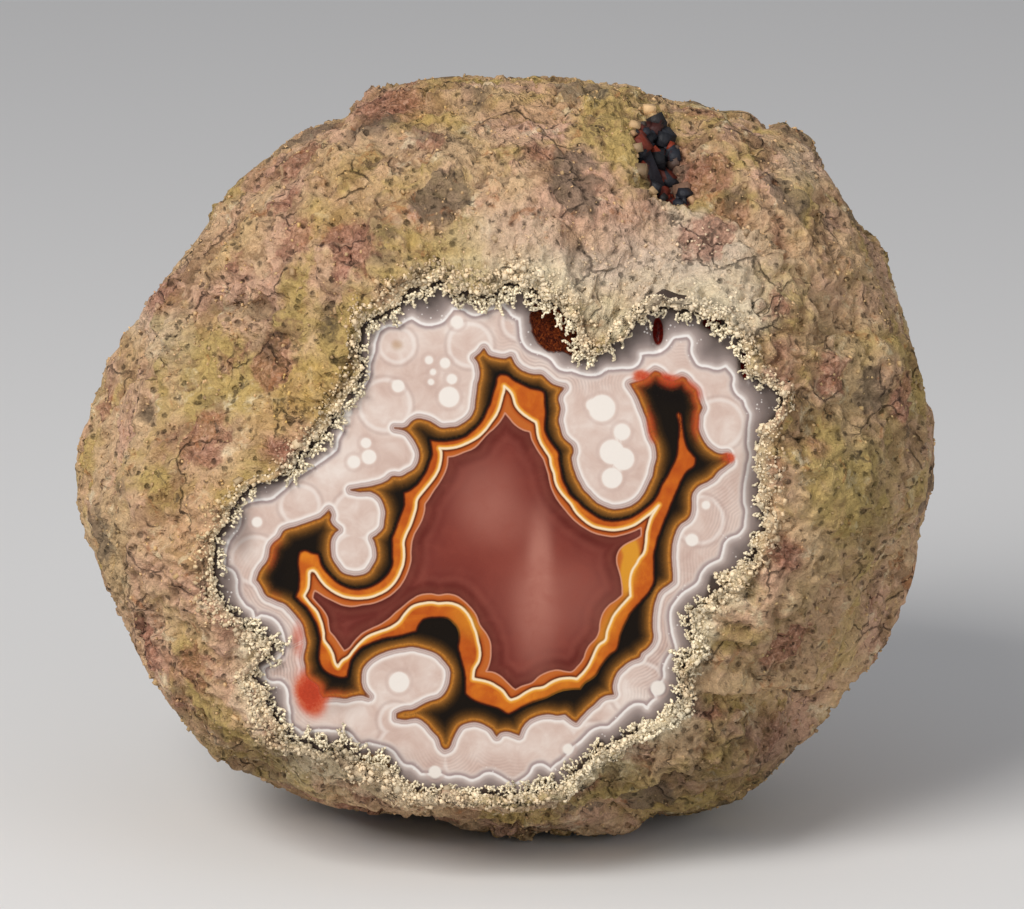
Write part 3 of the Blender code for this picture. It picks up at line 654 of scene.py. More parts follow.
def crease_height(pixel_x, pixel_y):
    """Sum of the creases: a narrow valley along each line, with a step down on its lower side."""
    total = np.zeros(len(pixel_x))
    for line, half_breadth, depth, step in CREASES:
        points = np.array(line, dtype=float)
        best = np.full(len(pixel_x), np.inf)
        below = np.zeros(len(pixel_x))
        for start, end in zip(points[:-1], points[1:]):
            run = end - start
            part = ((pixel_x - start[0]) * run[0] + (pixel_y - start[1]) * run[1]) / (run @ run)
            part = np.clip(part, 0.0, 1.0)
            gap_x = pixel_x - start[0] - part * run[0]
            gap_y = pixel_y - start[1] - part * run[1]
            gap = np.hypot(gap_x, gap_y)
            side = (run[0] * gap_y - run[1] * gap_x) / math.hypot(run[0], run[1])
            nearer = gap < best
            best = np.where(nearer, gap, best)
            below = np.where(nearer, side, below)
        total -= depth * np.exp(-(best / half_breadth) ** 2)
        beyond = np.clip(below / half_breadth, 0.0, 1.0)
        total -= step * beyond * np.exp(-(np.maximum(best - STEP_REACH, 0.0) / STEP_FADE) ** 2)
    return total


def stone_form(angle, track, fine=True):
    """The stone's form for an angle about the window's axis and a track from face to back.

    Track 0 to 1 is the flat face out to the rim, 1 to 2 the lip round it, 2 to 3 the front rind
    out to the outline and 3 to 4 the back in to its middle. Each rind stretch is a quarter of a
    squarish ellipse in depth over a straight run in the view. The outline's and the rim's detail
    fade within a few millimetres of them, and lattice noise, swellings and creases push the rind
    out or in from a middle inside the stone. The fine lip has a hollow under it, the solid's none.
    """
    face = np.clip(track, 0.0, 1.0)
    lip = np.clip(track - 1.0, 0.0, 1.0)
    front = np.clip(track - 2.0, 0.0, 1.0)
    back = np.clip(track - 3.0, 0.0, 1.0)
    is_front = track > 2.0
    is_back = track > 3.0

    rim = at(RIM_TABLE, angle)
    rim_soft = at(RIM_SOFT, angle)
    outline_soft = at(OUTLINE_SOFT, angle)
    outline_detail = at(OUTLINE_TABLE, angle) - outline_soft
    lip_width = LIP_WIDTH / METRES_PER_PIXEL

    swing = FRONT_START_TILT + (math.pi / 2.0 - FRONT_START_TILT) * front
    start_out = math.sin(FRONT_START_TILT) ** (2.0 / FRONT_SQUARENESS)
    start_deep = math.cos(FRONT_START_TILT) ** (2.0 / FRONT_SQUARENESS)
    out = (np.sin(swing) ** (2.0 / FRONT_SQUARENESS) - start_out) / (1.0 - start_out)
    deep = np.abs(np.cos(swing)) ** (2.0 / FRONT_SQUARENESS) / start_deep

    rim_y = WINDOW_MIDDLE[1] - rim * np.sin(angle)
    crest = face_depth(rim_y) + LIP_HEIGHT
    run = outline_soft - rim_soft - lip_width
    from_rim = out * run * METRES_PER_PIXEL
    to_outline = (1.0 - out) * run * METRES_PER_PIXEL
    rim_part = np.exp(-(from_rim / RIM_DETAIL_REACH) ** 2)
    outline_part = np.exp(-(to_outline ** 2 + (crest * deep) ** 2) / OUTLINE_DETAIL_REACH ** 2)
    front_radius = rim_soft + lip_width + out * run
    front_radius = front_radius + rim_part * (rim - rim_soft) + outline_part * outline_detail
    lip_out = np.interp(lip, LIP_TRACKS, LIP_OFFSETS) if fine else lip_width * lip
    radius = np.where(is_front, front_radius, rim * face + lip_out)
    pixel_x = WINDOW_MIDDLE[0] + radius * np.cos(angle)
    pixel_y = WINDOW_MIDDLE[1] - radius * np.sin(angle)

    lip_rise = LIP_HEIGHT * np.sin(lip * math.pi / 2.0)
    lip_rise = np.interp(lip, LIP_TRACKS, LIP_RISES) if fine else lip_rise
    toward = np.where(is_front, crest * deep, face_depth(pixel_y) + lip_rise)

    closing = np.abs(np.cos(back * math.pi / 2.0)) ** (2.0 / BACK_SQUARENESS)
    behind = -BACK_REACH * np.sin(back * math.pi / 2.0) ** (2.0 / BACK_SQUARENESS)
    inward = (1.0 - closing) * outline_soft * METRES_PER_PIXEL
    edge_part = np.exp(-(inward ** 2 + behind ** 2) / OUTLINE_DETAIL_REACH ** 2)
    back_radius = outline_soft + outline_detail * edge_part
    edge_x = WINDOW_MIDDLE[0] + back_radius * np.cos(angle)
    edge_y = WINDOW_MIDDLE[1] - back_radius * np.sin(angle)
    pixel_x = np.where(is_back, BACK_MIDDLE[0] + (edge_x - BACK_MIDDLE[0]) * closing, pixel_x)
    pixel_y = np.where(is_back, BACK_MIDDLE[1] + (edge_y - BACK_MIDDLE[1]) * closing, pixel_y)
    toward = np.where(is_back, behind, toward)

    points = world_point(pixel_x, pixel_y, toward)
    outward = points - world_point(*BACK_MIDDLE, -BODY_CENTRE_BACK)
    outward /= np.linalg.norm(outward, axis=-1, keepdims=True)

    inset = np.where(is_back, inward, to_outline)
    free = 1.0 - np.exp(-(inset ** 2 + toward ** 2) / OUTLINE_DETAIL_REACH ** 2)
    lumps = sum(height * lattice_noise(points, wave, seed) for wave, height, seed in LUMPS)
    named = crease_height(pixel_x, pixel_y)
    for *spot, height in SWELLINGS:
        named = named + height * bell_over(pixel_x, pixel_y, spot, SWELLING_FLATNESS)
    named = np.where(is_back, 0.0, named)
    calm = np.where(is_back, 0.0, RIM_CALM * rim_part)
    rise = np.where(is_front, free * (lumps + named) * (1.0 - calm), 0.0)
    room = inset + OUTLINE_PLAY
    rise = np.where(rise > 0.0, rise * room / (np.abs(rise) + room), rise)
    points = points + outward * rise[:, None]
    return SimpleNamespace(points=points, pixel_x=pixel_x, pixel_y=pixel_y, room=room,
                           beyond_rim=np.where(is_front, radius - rim, lip_out))


@lru_cache(maxsize=None)
def floor_shift():
    """How far the solid was moved to stand on the floor, worked out from its own rings and slices.

    Its foot is worn flat and its box then stands at the origin. The frame's box has to agree.
    """
    face, lip, front, back = SOLID_RINGS
    stretches = ((0.0, 1.0, face), (1.0, 2.0, lip), (2.0, 3.0, front))
    tracks = [np.linspace(*stretch, endpoint=False) for stretch in stretches]
    tracks = np.concatenate((*tracks, np.linspace(3.0, 4.0, back + 1)))
    angles = np.linspace(0.0, 2.0 * math.pi, SOLID_SLICES, endpoint=False)
    points = stone_form(*(grid.ravel() for grid in np.meshgrid(angles, tracks)), fine=False).points
    floor = points[:, 2].min() + REST_CUT
    points[:, 2] = np.maximum(points[:, 2], floor)
    low = points.min(axis=0)
    high = points.max(axis=0)
    shift = np.array(((low[0] + high[0]) / 2.0, (low[1] + high[1]) / 2.0, floor))
    for here, there in zip((low - shift, high - shift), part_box(STONE_NODE)):
        if np.abs(here - np.array(there)).max() > FIT_TOLERANCE:
            raise RuntimeError(f"the stone's form misses the frame: {here} is not {tuple(there)}")
    return shift


def even_tracks(start, end, count):
    """Tracks that divide a stretch of the stone into runs of the same mean length."""
    track = np.linspace(start, end, TRACK_TESTS)
    angle = np.tile(TEST_ANGLES, TRACK_TESTS)
    points = stone_form(angle, np.repeat(track, len(TEST_ANGLES))).points
    points = points.reshape(TRACK_TESTS, -1, 3)
    steps = np.linalg.norm(np.diff(points, axis=0), axis=-1).mean(axis=1)
    length = np.concatenate(((0.0,), np.cumsum(steps)))
    return np.interp(np.linspace(0.0, length[-1], count, endpoint=False), length, track)


def even_angles(count):
    """Angles that divide the outline, softened, into runs of the same length."""
    closed = np.append(TABLE_ANGLES, 2.0 * math.pi)
    radius = np.append(OUTLINE_SOFT, OUTLINE_SOFT[0])
    length = np.concatenate(((0.0,), np.cumsum((radius[:-1] + radius[1:]) / 2.0)))
    return np.interp(np.linspace(0.0, length[-1], count, endpoint=False), length, closed)


def grid_normals(points):
    """Unit normals of a grid of rings and slices: its two slopes' cross product, outward."""
    along = np.gradient(points, axis=0)
    around = (np.roll(points, -1, axis=1) - np.roll(points, 1, axis=1)) / 2.0
    normal = np.cross(around, along)
    normal /= np.maximum(np.linalg.norm(normal, axis=-1, keepdims=True), 1e-12)
    middle = points.reshape(-1, 3).mean(axis=0)
    outward = np.sum(normal * (points - middle)) > 0.0
    return normal if outward else -normal


def fine_relief(points, crumbly):
    """Height of the rind's fine relief: folds and rounded cells on a warped lattice.

    A fold's height is the size of a smooth noise, which leaves sharp valleys where the noise
    changes sign. The crumbs are stronger where the rind is crumbly. Gives the whole height, and
    that of its smaller forms alone.
    """
    reach, wavelength, seeds = WARP
    warp = np.stack([lattice_noise(points, wavelength, seed) for seed in seeds], axis=-1)
    place = points + reach * warp
    zone = ZONE_MIDDLE + ZONE_GAIN * lattice_noise(points, *ZONE_NOISE)
    rough = np.clip(zone, *ZONE_LIMITS) * crumbly
    crags = [height * 2.0 * (np.abs(lattice_noise(place, wave, seed)) - CRAG_MEAN)
             for wave, height, seed in CRAGS]
    crumbs = [height * rounded_cells(place, wave, seed) for wave, height, seed in CRUMBS]
    small = (sum(crags[2:]) + sum(crumbs[1:])) * rough
    return sum(crags[:2]) + crumbs[0] * rough + small, small


@lru_cache(maxsize=None)
def rind_skin(side):
    """The front or the back of the rind as a grid of rings and slices, with its relief and fields.

    The relief fades under the lip, where the skin is hidden, and stays within the room beside the
    outline. The grid runs two rings past the place where front and back part.
    """
    settings = bpy.context.scene.agate_rind
    if side == "front":
        slices = FRONT_SLICES
        tracks = np.concatenate((
            even_tracks(1.0, 2.0, LIP_RINGS), even_tracks(2.0, 3.0, FRONT_RINGS),
            even_tracks(3.0, PARTING_TRACK, SIDE_RINGS), (PARTING_TRACK,),
            PARTING_TRACK + np.array(HIDDEN_TRACKS),
        ))
    else:
        slices = BACK_SLICES
        tracks = np.concatenate((PARTING_TRACK - np.array(HIDDEN_TRACKS[::-1]),
                                 even_tracks(PARTING_TRACK, 4.0, BACK_RINGS)))
    angle, track = (grid.ravel() for grid in np.meshgrid(even_angles(slices), tracks))
    form = stone_form(angle, track)
    shape = (len(tracks), slices)
    points = form.points - floor_shift()
    normals = grid_normals(points.reshape(*shape, 3)).reshape(-1, 3)
    front = np.clip((FRONT_END - track) / FRONT_FADE, 0.0, 1.0)
    smooth_side = bell_over(form.pixel_x, form.pixel_y, SMOOTH_SIDE, SPOT_FLATNESS) * front
    near_rim = np.exp(-(form.beyond_rim / RIM_ROUGH_REACH) ** 2)
    crumbly = 1.0 - SMOOTH_SIDE_CALM * smooth_side + RIM_ROUGHNESS * near_rim
    relief, small = fine_relief(points, crumbly)
    shown = np.clip((track - RELIEF_START) / RELIEF_RUN, 0.0, 1.0) * settings.relief
    relief = relief * shown
    relief = np.where(relief > 0.0, relief * form.room / (relief + form.room), relief)
    points = points + normals * relief[:, None]
    points[:, 2] = np.maximum(points[:, 2], 0.0)
    fray = sum(reach * np.stack([lattice_noise(points, wavelength, seed) for seed in seeds])
               for reach, wavelength, seeds in FRAYS)
    place = (form.pixel_x + fray[0], form.pixel_y + fray[1])
    fields = {name: spot_strength(*place, name, SPOT_FLATNESS) * front for name in RIND_FIELDS}
    fields["relief"] = small / RELIEF_UNIT
    fields["lip"] = np.clip(1.0 - form.beyond_rim / LIP_REACH, 0.0, 1.0) * front
    fields["behind"] = 1.0 - front
    fields = {name: values.reshape(shape) for name, values in fields.items()}
    return SimpleNamespace(points=points.reshape(*shape, 3), normals=normals.reshape(*shape, 3),
                           tracks=tracks, fields=fields)


def smooth_outline(points):
    """A closed outline in finer steps: a cubic between each two points.

    Its slope at a point is the mean of the runs on both sides of it, or each run's own where the
    outline turns sharply there, so that cusps stay sharp.
    """
    here = np.array(points, dtype=float)
    after = np.roll(here, -1, axis=0) - here
    before = np.roll(after, 1, axis=0)
    length = np.linalg.norm(after, axis=1, keepdims=True)
    length_before = np.roll(length, 1, axis=0)
    after_way = after / length
    before_way = before / length_before
    sharp = np.sum(after_way * before_way, axis=1, keepdims=True) < math.cos(SHARP_TURN)
    shared = after_way + before_way
    shared /= np.maximum(np.linalg.norm(shared, axis=1, keepdims=True), 1e-9)
    leave = np.where(sharp, after_way, shared) * length
    arrive = np.roll(np.where(sharp, before_way, shared), -1, axis=0) * length
    there = np.roll(here, -1, axis=0)
    part = (np.arange(OUTLINE_PARTS) / OUTLINE_PARTS)[:, None, None]
    curve = here * (2.0 * part ** 3 - 3.0 * part ** 2 + 1.0) + leave * (part ** 3 - 2.0 * part ** 2 + part)
    curve = curve + there * (3.0 * part ** 2 - 2.0 * part ** 3) + arrive * (part ** 3 - part ** 2)
    return curve.transpose(1, 0, 2).reshape(-1, 2)


def signed_distance(pixel_x, pixel_y, outline):
    """Distance in pixels to a closed outline, below zero inside it.

    It is the least distance to any run of the outline, and a place is inside if a line across
    from it meets an odd number of runs.
    """
    least = np.full(pixel_x.shape, np.inf, dtype=np.float32)
    inside = np.zeros(pixel_x.shape, dtype=bool)
    for (start_x, start_y), (end_x, end_y) in zip(outline, np.roll(outline, -1, axis=0)):
        run_x = end_x - start_x
        run_y = end_y - start_y
        gap_x = pixel_x - start_x
        gap_y = pixel_y - start_y
        part = np.clip((gap_x * run_x + gap_y * run_y) / (run_x ** 2 + run_y ** 2), 0.0, 1.0)
        least = np.minimum(least, (gap_x - part * run_x) ** 2 + (gap_y - part * run_y) ** 2)
        if run_y != 0.0:
            crosses = (start_y > pixel_y) != (end_y > pixel_y)
            inside ^= crosses & (gap_x < gap_y * (run_x / run_y))
    return np.where(inside, -1.0, 1.0) * np.sqrt(least)


def circles_distance(pixel_x, pixel_y, circles):
    """Distance in pixels to the nearest of some circles, below zero inside."""
    least = np.full(pixel_x.shape, np.inf, dtype=np.float32)
    for middle_x, middle_y, radius in circles:
        least = np.minimum(least, np.hypot(pixel_x - middle_x, pixel_y - middle_y) - radius)
    return least


def new_piece(name, points, faces, places):
    """A mesh piece at the origin from faces of one or more sizes, with a place on the bake map.

    Each item of faces holds rows of point numbers, and the same item of places a pair for each of
    them. The faces are turned over if the volume that they close is below zero.
    """
    volume = sum(
        np.sum(np.cross(points[rows[:, 0]], points[rows[:, corner]]) * points[rows[:, corner + 1]])
        for rows in faces for corner in range(1, rows.shape[1] - 1)
    )
    if volume < 0.0:
        faces = [rows[:, ::-1] for rows in faces]
        places = [rows[:, ::-1] for rows in places]
    corners = np.concatenate([rows.ravel() for rows in faces])
    sizes = np.concatenate([np.full(len(rows), rows.shape[1]) for rows in faces])
    mesh = bpy.data.meshes.new(name)
    mesh.vertices.add(len(points))
    mesh.vertices.foreach_set("co", points.astype(np.float32).ravel())
    mesh.loops.add(len(corners))
    mesh.loops.foreach_set("vertex_index", corners.astype(np.int32))
    mesh.polygons.add(len(sizes))
    mesh.polygons.foreach_set("loop_start", (np.cumsum(sizes) - sizes).astype(np.int32))
    mesh.update(calc_edges=True)
    bake_map = mesh.uv_layers.new(name="OFBake")
    flat = np.concatenate([rows.reshape(-1, 2) for rows in places])
    bake_map.uv.foreach_set("vector", flat.astype(np.float32).ravel())
    piece = bpy.data.objects.new(name, mesh)
    bpy.context.scene.collection.objects.link(piece)
    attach(piece, "root")
    return piece


def add_fields(piece, fields):
    """Give each point of a piece its value of every field, for the material to read."""
    for name, values in fields.items():
        layer = piece.data.attributes.new(name, "FLOAT", "POINT")
        layer.data.foreach_set("value", np.ascontiguousarray(values, dtype=np.float32))


def closed_skin(name, rings, start_pole, end_pole, fields):
    """A closed skin: rings of points, each joined round its slices, and a fan to a pole at each end.

    Its bake map is a disc with the start pole in the middle: a ring's radius there grows with the
    mean length of skin from that pole, and the fan to the end pole lies round the edge.
    """
    count, slices = rings.shape[:2]
    points = np.concatenate((rings.reshape(-1, 3), (start_pole, end_pole)))
    start = count * slices
    number = np.arange(start).reshape(count, slices)
    after = np.roll(number, -1, axis=1)
    fan_in = np.stack((np.full(slices, start), number[0], after[0]), axis=-1)
    quads = np.stack((number[:-1], number[1:], after[1:], after[:-1]), axis=-1).reshape(-1, 4)
    fan_out = np.stack((number[-1], np.full(slices, start + 1), after[-1]), axis=-1)
    steps = np.linalg.norm(np.diff(rings, axis=0), axis=-1).mean(axis=1)
    first = np.linalg.norm(rings[0] - start_pole, axis=-1).mean()
    length = first + np.concatenate(((0.0,), np.cumsum(steps)))
    reach = DISC_REACH * length / length[-1]
    turn = 2.0 * math.pi * np.arange(slices) / slices
    spokes = np.stack((np.cos(turn), np.sin(turn)), axis=-1)
    place = 0.5 + (reach[:, None, None] * spokes).reshape(-1, 2)
    place = np.concatenate((place, np.full((2, 2), 0.5)))
    half = turn + math.pi / slices
    rim_places = place[fan_out]
    rim_places[:, 1] = 0.5 + DISC_EDGE * np.stack((np.cos(half), np.sin(half)), axis=-1)
    places = [place[fan_in], place[quads], rim_places]
    piece = new_piece(name, points, [fan_in, quads, fan_out], places)
    piece.data.shade_smooth()
    add_fields(piece, {
        key: np.concatenate((values.ravel(), (values[0].mean(), values[-1].mean())))
        for key, values in fields.items()
    })
    return piece


def make_rind():
    """The rind: two closed skins in front and one behind, each two of which share a ring.

    Each skin runs on past that ring a little under the other's surface, and closes at a pole
    inside. The back's other pole is the middle of the stone's back.
    """
    front = rind_skin("front")
    back = rind_skin("back")
    shift = floor_shift()
    inside = world_point(*BACK_MIDDLE, -BODY_CENTRE_BACK) - shift
    floor_pole = world_point(*WINDOW_MIDDLE, face_depth(WINDOW_MIDDLE[1]) + LIP_RISES[0]) - shift
    back_pole = stone_form(np.zeros(1), np.full(1, 4.0)).points[0] - shift
    last = len(front.tracks) - 1
    depths = np.array(HIDDEN_DEPTHS)
    none = np.zeros(0)
    for name, skin, rows, before, after, pole in (
        ("rind_inner", front, np.arange(INNER_RINGS + 3), none, depths, floor_pole),
        ("rind_outer", front, np.arange(INNER_RINGS - 2, last + 1), depths[::-1], depths, inside),
        ("rind_back", back, np.arange(len(back.tracks) - 1, -1, -1), none, depths, back_pole),
    ):
        sunk = np.concatenate((before, np.zeros(len(rows) - len(before) - len(after)), after))
        rings = skin.points[rows] - skin.normals[rows] * sunk[:, None, None]
        fields = {key: values[rows] for key, values in skin.fields.items()}
        piece = closed_skin(name, rings, pole, inside, fields)
        piece.data.materials.append(rind_material())
        if name == "rind_inner":
            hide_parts(STONE_NODE)


def window_fields(pixel_x, pixel_y):
    """The agate's fields: distances in pixels to its outlines and eyes, and its soft spots."""
    pixel_x = pixel_x.astype(np.float32)
    pixel_y = pixel_y.astype(np.float32)
    outlines = {"white_edge": WHITE_EDGE, "black_edge": BLACK_EDGE, "cream_line": CREAM_LINE,
                "core_edge": CORE_EDGE, "scallop": SCALLOP_LINE, "rim": RIM}
    fields = {name: signed_distance(pixel_x, pixel_y, smooth_outline(outline))
              for name, outline in outlines.items()}
    fields["eye"] = circles_distance(pixel_x, pixel_y, EYES)
    fields["lobe"] = circles_distance(pixel_x, pixel_y, LOBES)
    for name in WINDOW_SPOTS:
        fields[name] = spot_strength(pixel_x, pixel_y, name, WINDOW_SPOT_FLATNESS)
    return fields


def make_agate():
    """The agate's window: a flat disc of rings out to the rim, its margin tucked under the lip.

    Its front lies in the upright face plane, apart from the iron-stained pocket and the slots,
    which are pressed in, and it closes at a pole behind.
    """
    rings = np.concatenate((np.arange(1, FACE_RINGS + 1) / FACE_RINGS, np.ones(MARGIN_RINGS)))
    beyond = np.concatenate((np.zeros(FACE_RINGS), np.arange(1, MARGIN_RINGS + 1) / MARGIN_RINGS))
    angle, ring = np.meshgrid(2.0 * math.pi * np.arange(FACE_SLICES) / FACE_SLICES, rings)
    margin = beyond[:, None]
    radius = at(RIM_TABLE, angle) * ring + margin * MARGIN_REACH
    pixel_x = WINDOW_MIDDLE[0] + radius * np.cos(angle)
    pixel_y = WINDOW_MIDDLE[1] - radius * np.sin(angle)
    fields = window_fields(pixel_x, pixel_y)
    sunk = POCKET_DEPTH * fields["pocket"] + SLOT_DEPTH * fields["slot"]
    sunk = sunk + MARGIN_DIP * margin ** MARGIN_ROUNDING
    points = world_point(pixel_x, pixel_y, face_depth(pixel_y)) - floor_shift()
    rough = lattice_noise(points.reshape(-1, 3), *POCKET_NOISE).reshape(sunk.shape)
    points[..., 1] += sunk + POCKET_ROUGHNESS * rough * np.maximum(fields["pocket"], fields["slot"])
    middle = world_point(*WINDOW_MIDDLE, face_depth(WINDOW_MIDDLE[1])) - floor_shift()
    behind = middle + (0.0, AGATE_THICKNESS, 0.0)
    piece = closed_skin("agate_face", points, middle, behind, fields)
    piece.data.materials.append(agate_material())


def turned_boxes(name, middles, halves, turns, fields):
    """Many small closed boxes in one piece: each has a middle, three half sizes and a turn.

    On the bake map each box has its own square cell, and each of its faces a sixth of it.
    """
    count = len(middles)
    corners = np.array(BOX_CORNERS)
    points = middles[:, None] + np.einsum("nij,ncj->nci", turns, corners * halves[:, None])
    faces = (np.array(BOX_SIDES) + len(corners) * np.arange(count)[:, None, None]).reshape(-1, 4)
    across = math.ceil(math.sqrt(count))
    cell = np.stack((np.arange(count) % across, np.arange(count) // across), axis=-1)
    part = np.stack((np.arange(6) % 3 / 3.0, np.arange(6) // 3 / 2.0), axis=-1)
    places = (cell[:, None, None] + part[None, :, None] + np.array(BOX_PATCH)) / across
    piece = new_piece(name, points.reshape(-1, 3), [faces], [places.reshape(-1, 4, 2)])
    add_fields(piece, {key: np.repeat(values, len(corners)) for key, values in fields.items()})
    return piece


def random_turns(random, count):
    """Rotation matrices spread evenly over all turns, from random unit quaternions."""
    parts = random.normal(size=(4, count))
    w, x, y, z = parts / np.linalg.norm(parts, axis=0)
    rows = ((1 - 2 * (y * y + z * z), 2 * (x * y - z * w), 2 * (x * z + y * w)),
            (2 * (x * y + z * w), 1 - 2 * (x * x + z * z), 2 * (y * z - x * w)),
            (2 * (x * z - y * w), 2 * (y * z + x * w), 1 - 2 * (x * x + y * y)))
    return np.array(rows).transpose(2, 0, 1)


def scattered_grains(name, skin, weights, count, size, sink, seed):
    """Grains strewn over the rind: drawn by weight and area, jittered within their cell of the grid.

    Each is a box of three unlike half sizes about the given one, turned at random, and set into
    the surface by a part of its size.
    """
    random = np.random.default_rng(seed)
    along = np.gradient(skin.points, axis=0)
    around = (np.roll(skin.points, -1, axis=1) - np.roll(skin.points, 1, axis=1)) / 2.0
    chance = weights * np.linalg.norm(np.cross(around, along), axis=-1)
    chosen = random.choice(chance.size, size=count, p=(chance / chance.sum()).ravel())
    jitter = random.uniform(-0.5, 0.5, size=(2, count, 1))
    points, along, around, normals = (
        grid.reshape(-1, 3)[chosen] for grid in (skin.points, along, around, skin.normals)
    )
    points = points + jitter[0] * along + jitter[1] * around
    half = size * random.lognormal(0.0, GRAIN_SPREAD, size=(count, 1)) / 2.0
    halves = half * random.uniform(*GRAIN_HALVES, size=(count, 3))
    points = points + normals * half * sink
    points[:, 2] = np.maximum(points[:, 2], GRAIN_HALVES[1] * halves.max(axis=1))
    fields = {key: values.ravel()[chosen] for key, values in skin.fields.items()}
    fields["tint"] = random.uniform(size=count)
    order = np.argsort(chosen)
    piece = turned_boxes(name, points[order], halves[order], random_turns(random, count)[order],
                         {key: values[order] for key, values in fields.items()})
    piece.data.materials.append(grain_material())
    return piece


def make_rind_grains():
    """Grains on the rind: a crust of them on the lip, fewer over the front, and the pit's crystals."""
    settings = bpy.context.scene.agate_grains
    skin = rind_skin("front")
    track = skin.tracks[:, None]
    lip = skin.fields["lip"] ** 1.5 * (0.5 + skin.fields["cream"])
    scattered_grains("lip_grains", skin, np.where(track > RELIEF_START, lip, 0.0),
                     settings.lip_count, settings.grain_size, 0.2, LIP_SEED)
    pale = 0.4 + skin.fields["pale"] + 0.6 * skin.fields["cream"]
    scattered_grains("rind_grains", skin, np.where(track > 2.0, pale, 0.0), settings.rind_count,
                     settings.grain_size * 0.9, 0.0, RIND_SEED)
    scattered_grains("pit_crystals", skin, skin.fields["crystal"] ** 2, CRYSTAL_COUNT,
                     settings.grain_size * CRYSTAL_SIZE, 0.2, CRYSTAL_SEED)


def make_fringe():
    """Branching crusts of grains on the agate's margin, grown inward from the rim.

    Each branch is a walk in the face plane: equal steps that start out towards the window's middle
    and turn a little at random. A bar lies along each step, and a short twig stands off some.
    """
    settings = bpy.context.scene.agate_grains
    random = np.random.default_rng(FRINGE_SEED)
    angle = random.choice(TABLE_ANGLES, size=settings.fringe_count)
    angle = angle + random.uniform(-0.005, 0.005, size=len(angle))
    root_x = WINDOW_MIDDLE[0] + at(RIM_TABLE, angle) * np.cos(angle)
    root_y = WINDOW_MIDDLE[1] - at(RIM_TABLE, angle) * np.sin(angle)
    dense = spot_strength(root_x, root_y, "fringe", 1.0)
    size = (len(angle), FRINGE_STEPS)
    stray = np.cumsum(random.normal(0.0, FRINGE_STRAY, size=size), axis=1)
    stray += random.normal(0.0, FRINGE_LEAN, size=(len(angle), 1))
    heading = angle[:, None] + math.pi + stray
    stride = FRINGE_STEP * random.uniform(0.7, 1.3, size=size)
    outward = random.uniform(*FRINGE_START, size=(len(angle), 1))
    walk_x = root_x[:, None] + outward * np.cos(angle)[:, None] + np.cumsum(stride * np.cos(heading), axis=1)
    walk_y = root_y[:, None] - outward * np.sin(angle)[:, None] - np.cumsum(stride * np.sin(heading), axis=1)
    longest = FRINGE_SHORT + dense[:, None] * FRINGE_STEPS
    kept = np.arange(FRINGE_STEPS) < longest * random.uniform(size=(len(angle), 1))
    kept = kept[:, 1:]
    from_x = walk_x[:, :-1][kept]
    from_y = walk_y[:, :-1][kept]
    to_x = walk_x[:, 1:][kept]
    to_y = walk_y[:, 1:][kept]
    twig = random.choice((-1.0, 1.0), size=len(to_x)) * random.uniform(0.6, 1.4, size=len(to_x))
    way = np.arctan2(to_y - from_y, to_x - from_x) + twig
    reach = FRINGE_STEP * random.uniform(0.5, 1.2, size=len(to_x))
    from_x = np.concatenate((from_x, to_x))
    from_y = np.concatenate((from_y, to_y))
    to_x = np.concatenate((to_x, to_x + reach * np.cos(way)))
    to_y = np.concatenate((to_y, to_y + reach * np.sin(way)))
    count = len(to_x)
    lift = random.uniform(0.0, FRINGE_LIFT, size=count)
    start = world_point(from_x, from_y, face_depth(from_y) + lift) - floor_shift()
    end = world_point(to_x, to_y, face_depth(to_y) + lift) - floor_shift()
    along = end - start
    length = np.linalg.norm(along, axis=1, keepdims=True)
    along /= length
    side = np.cross(along, random.normal(size=(count, 3)))
    side /= np.linalg.norm(side, axis=1, keepdims=True)
    turns = np.stack((along, side, np.cross(along, side)), axis=-1)
    thick = settings.grain_size * random.uniform(0.3, 0.6, size=(count, 2))
    halves = np.concatenate((length * 0.55, thick), axis=1)
    fields = {"tint": random.uniform(size=count), "cream": np.ones(count), "lip": np.ones(count)}
    piece = turned_boxes("rim_fringe", (start + end) / 2.0, halves, turns, fields)
    piece.data.materials.append(grain_material())


class Socket:
    """A value in a material. Arithmetic with numbers or other values adds Math nodes."""

    def __init__(self, paint, socket):
        self.paint = paint
        self.socket = socket

    def math(self, operation, *values):
        return self.paint.node("ShaderNodeMath", {"operation": operation}, dict(enumerate(values)))

    def __add__(self, other):
        return self.math("ADD", self, other)

    def __sub__(self, other):
        return self.math("SUBTRACT", self, other)

    def __rsub__(self, other):
        return self.math("SUBTRACT", other, self)

    def __mul__(self, other):
        return self.math("MULTIPLY", self, other)

    def __neg__(self):
        return self.math("MULTIPLY", self, -1.0)

    def __truediv__(self, other):
        return self.math("DIVIDE", self, other)

    def __abs__(self):
        return self.math("ABSOLUTE", self)

    __radd__ = __add__
    __rmul__ = __mul__

    def least(self, other):
        """The smaller of this and another value."""
        return self.math("MINIMUM", self, other)

    def most(self, other):
        """The larger of this and another value."""
        return self.math("MAXIMUM", self, other)

    def wave(self):
        """The sine of this value, from 0 to 1."""
        return self.math("SINE", self) * 0.5 + 0.5

    def rise(self, low, high):
        """A smooth step of this value: 0 at low, 1 at high, and the other way if high is lower."""
        inputs = {"Value": self, "From Min": low, "From Max": high}
        return self.paint.node("ShaderNodeMapRange", {"interpolation_type": "SMOOTHSTEP"}, inputs)

    def bump_at(self, middle, breadth):
        """A smooth hump of this value, 1 at the middle and 0 a breadth away on both sides."""
        return abs(self - middle).rise(breadth, 0.0)


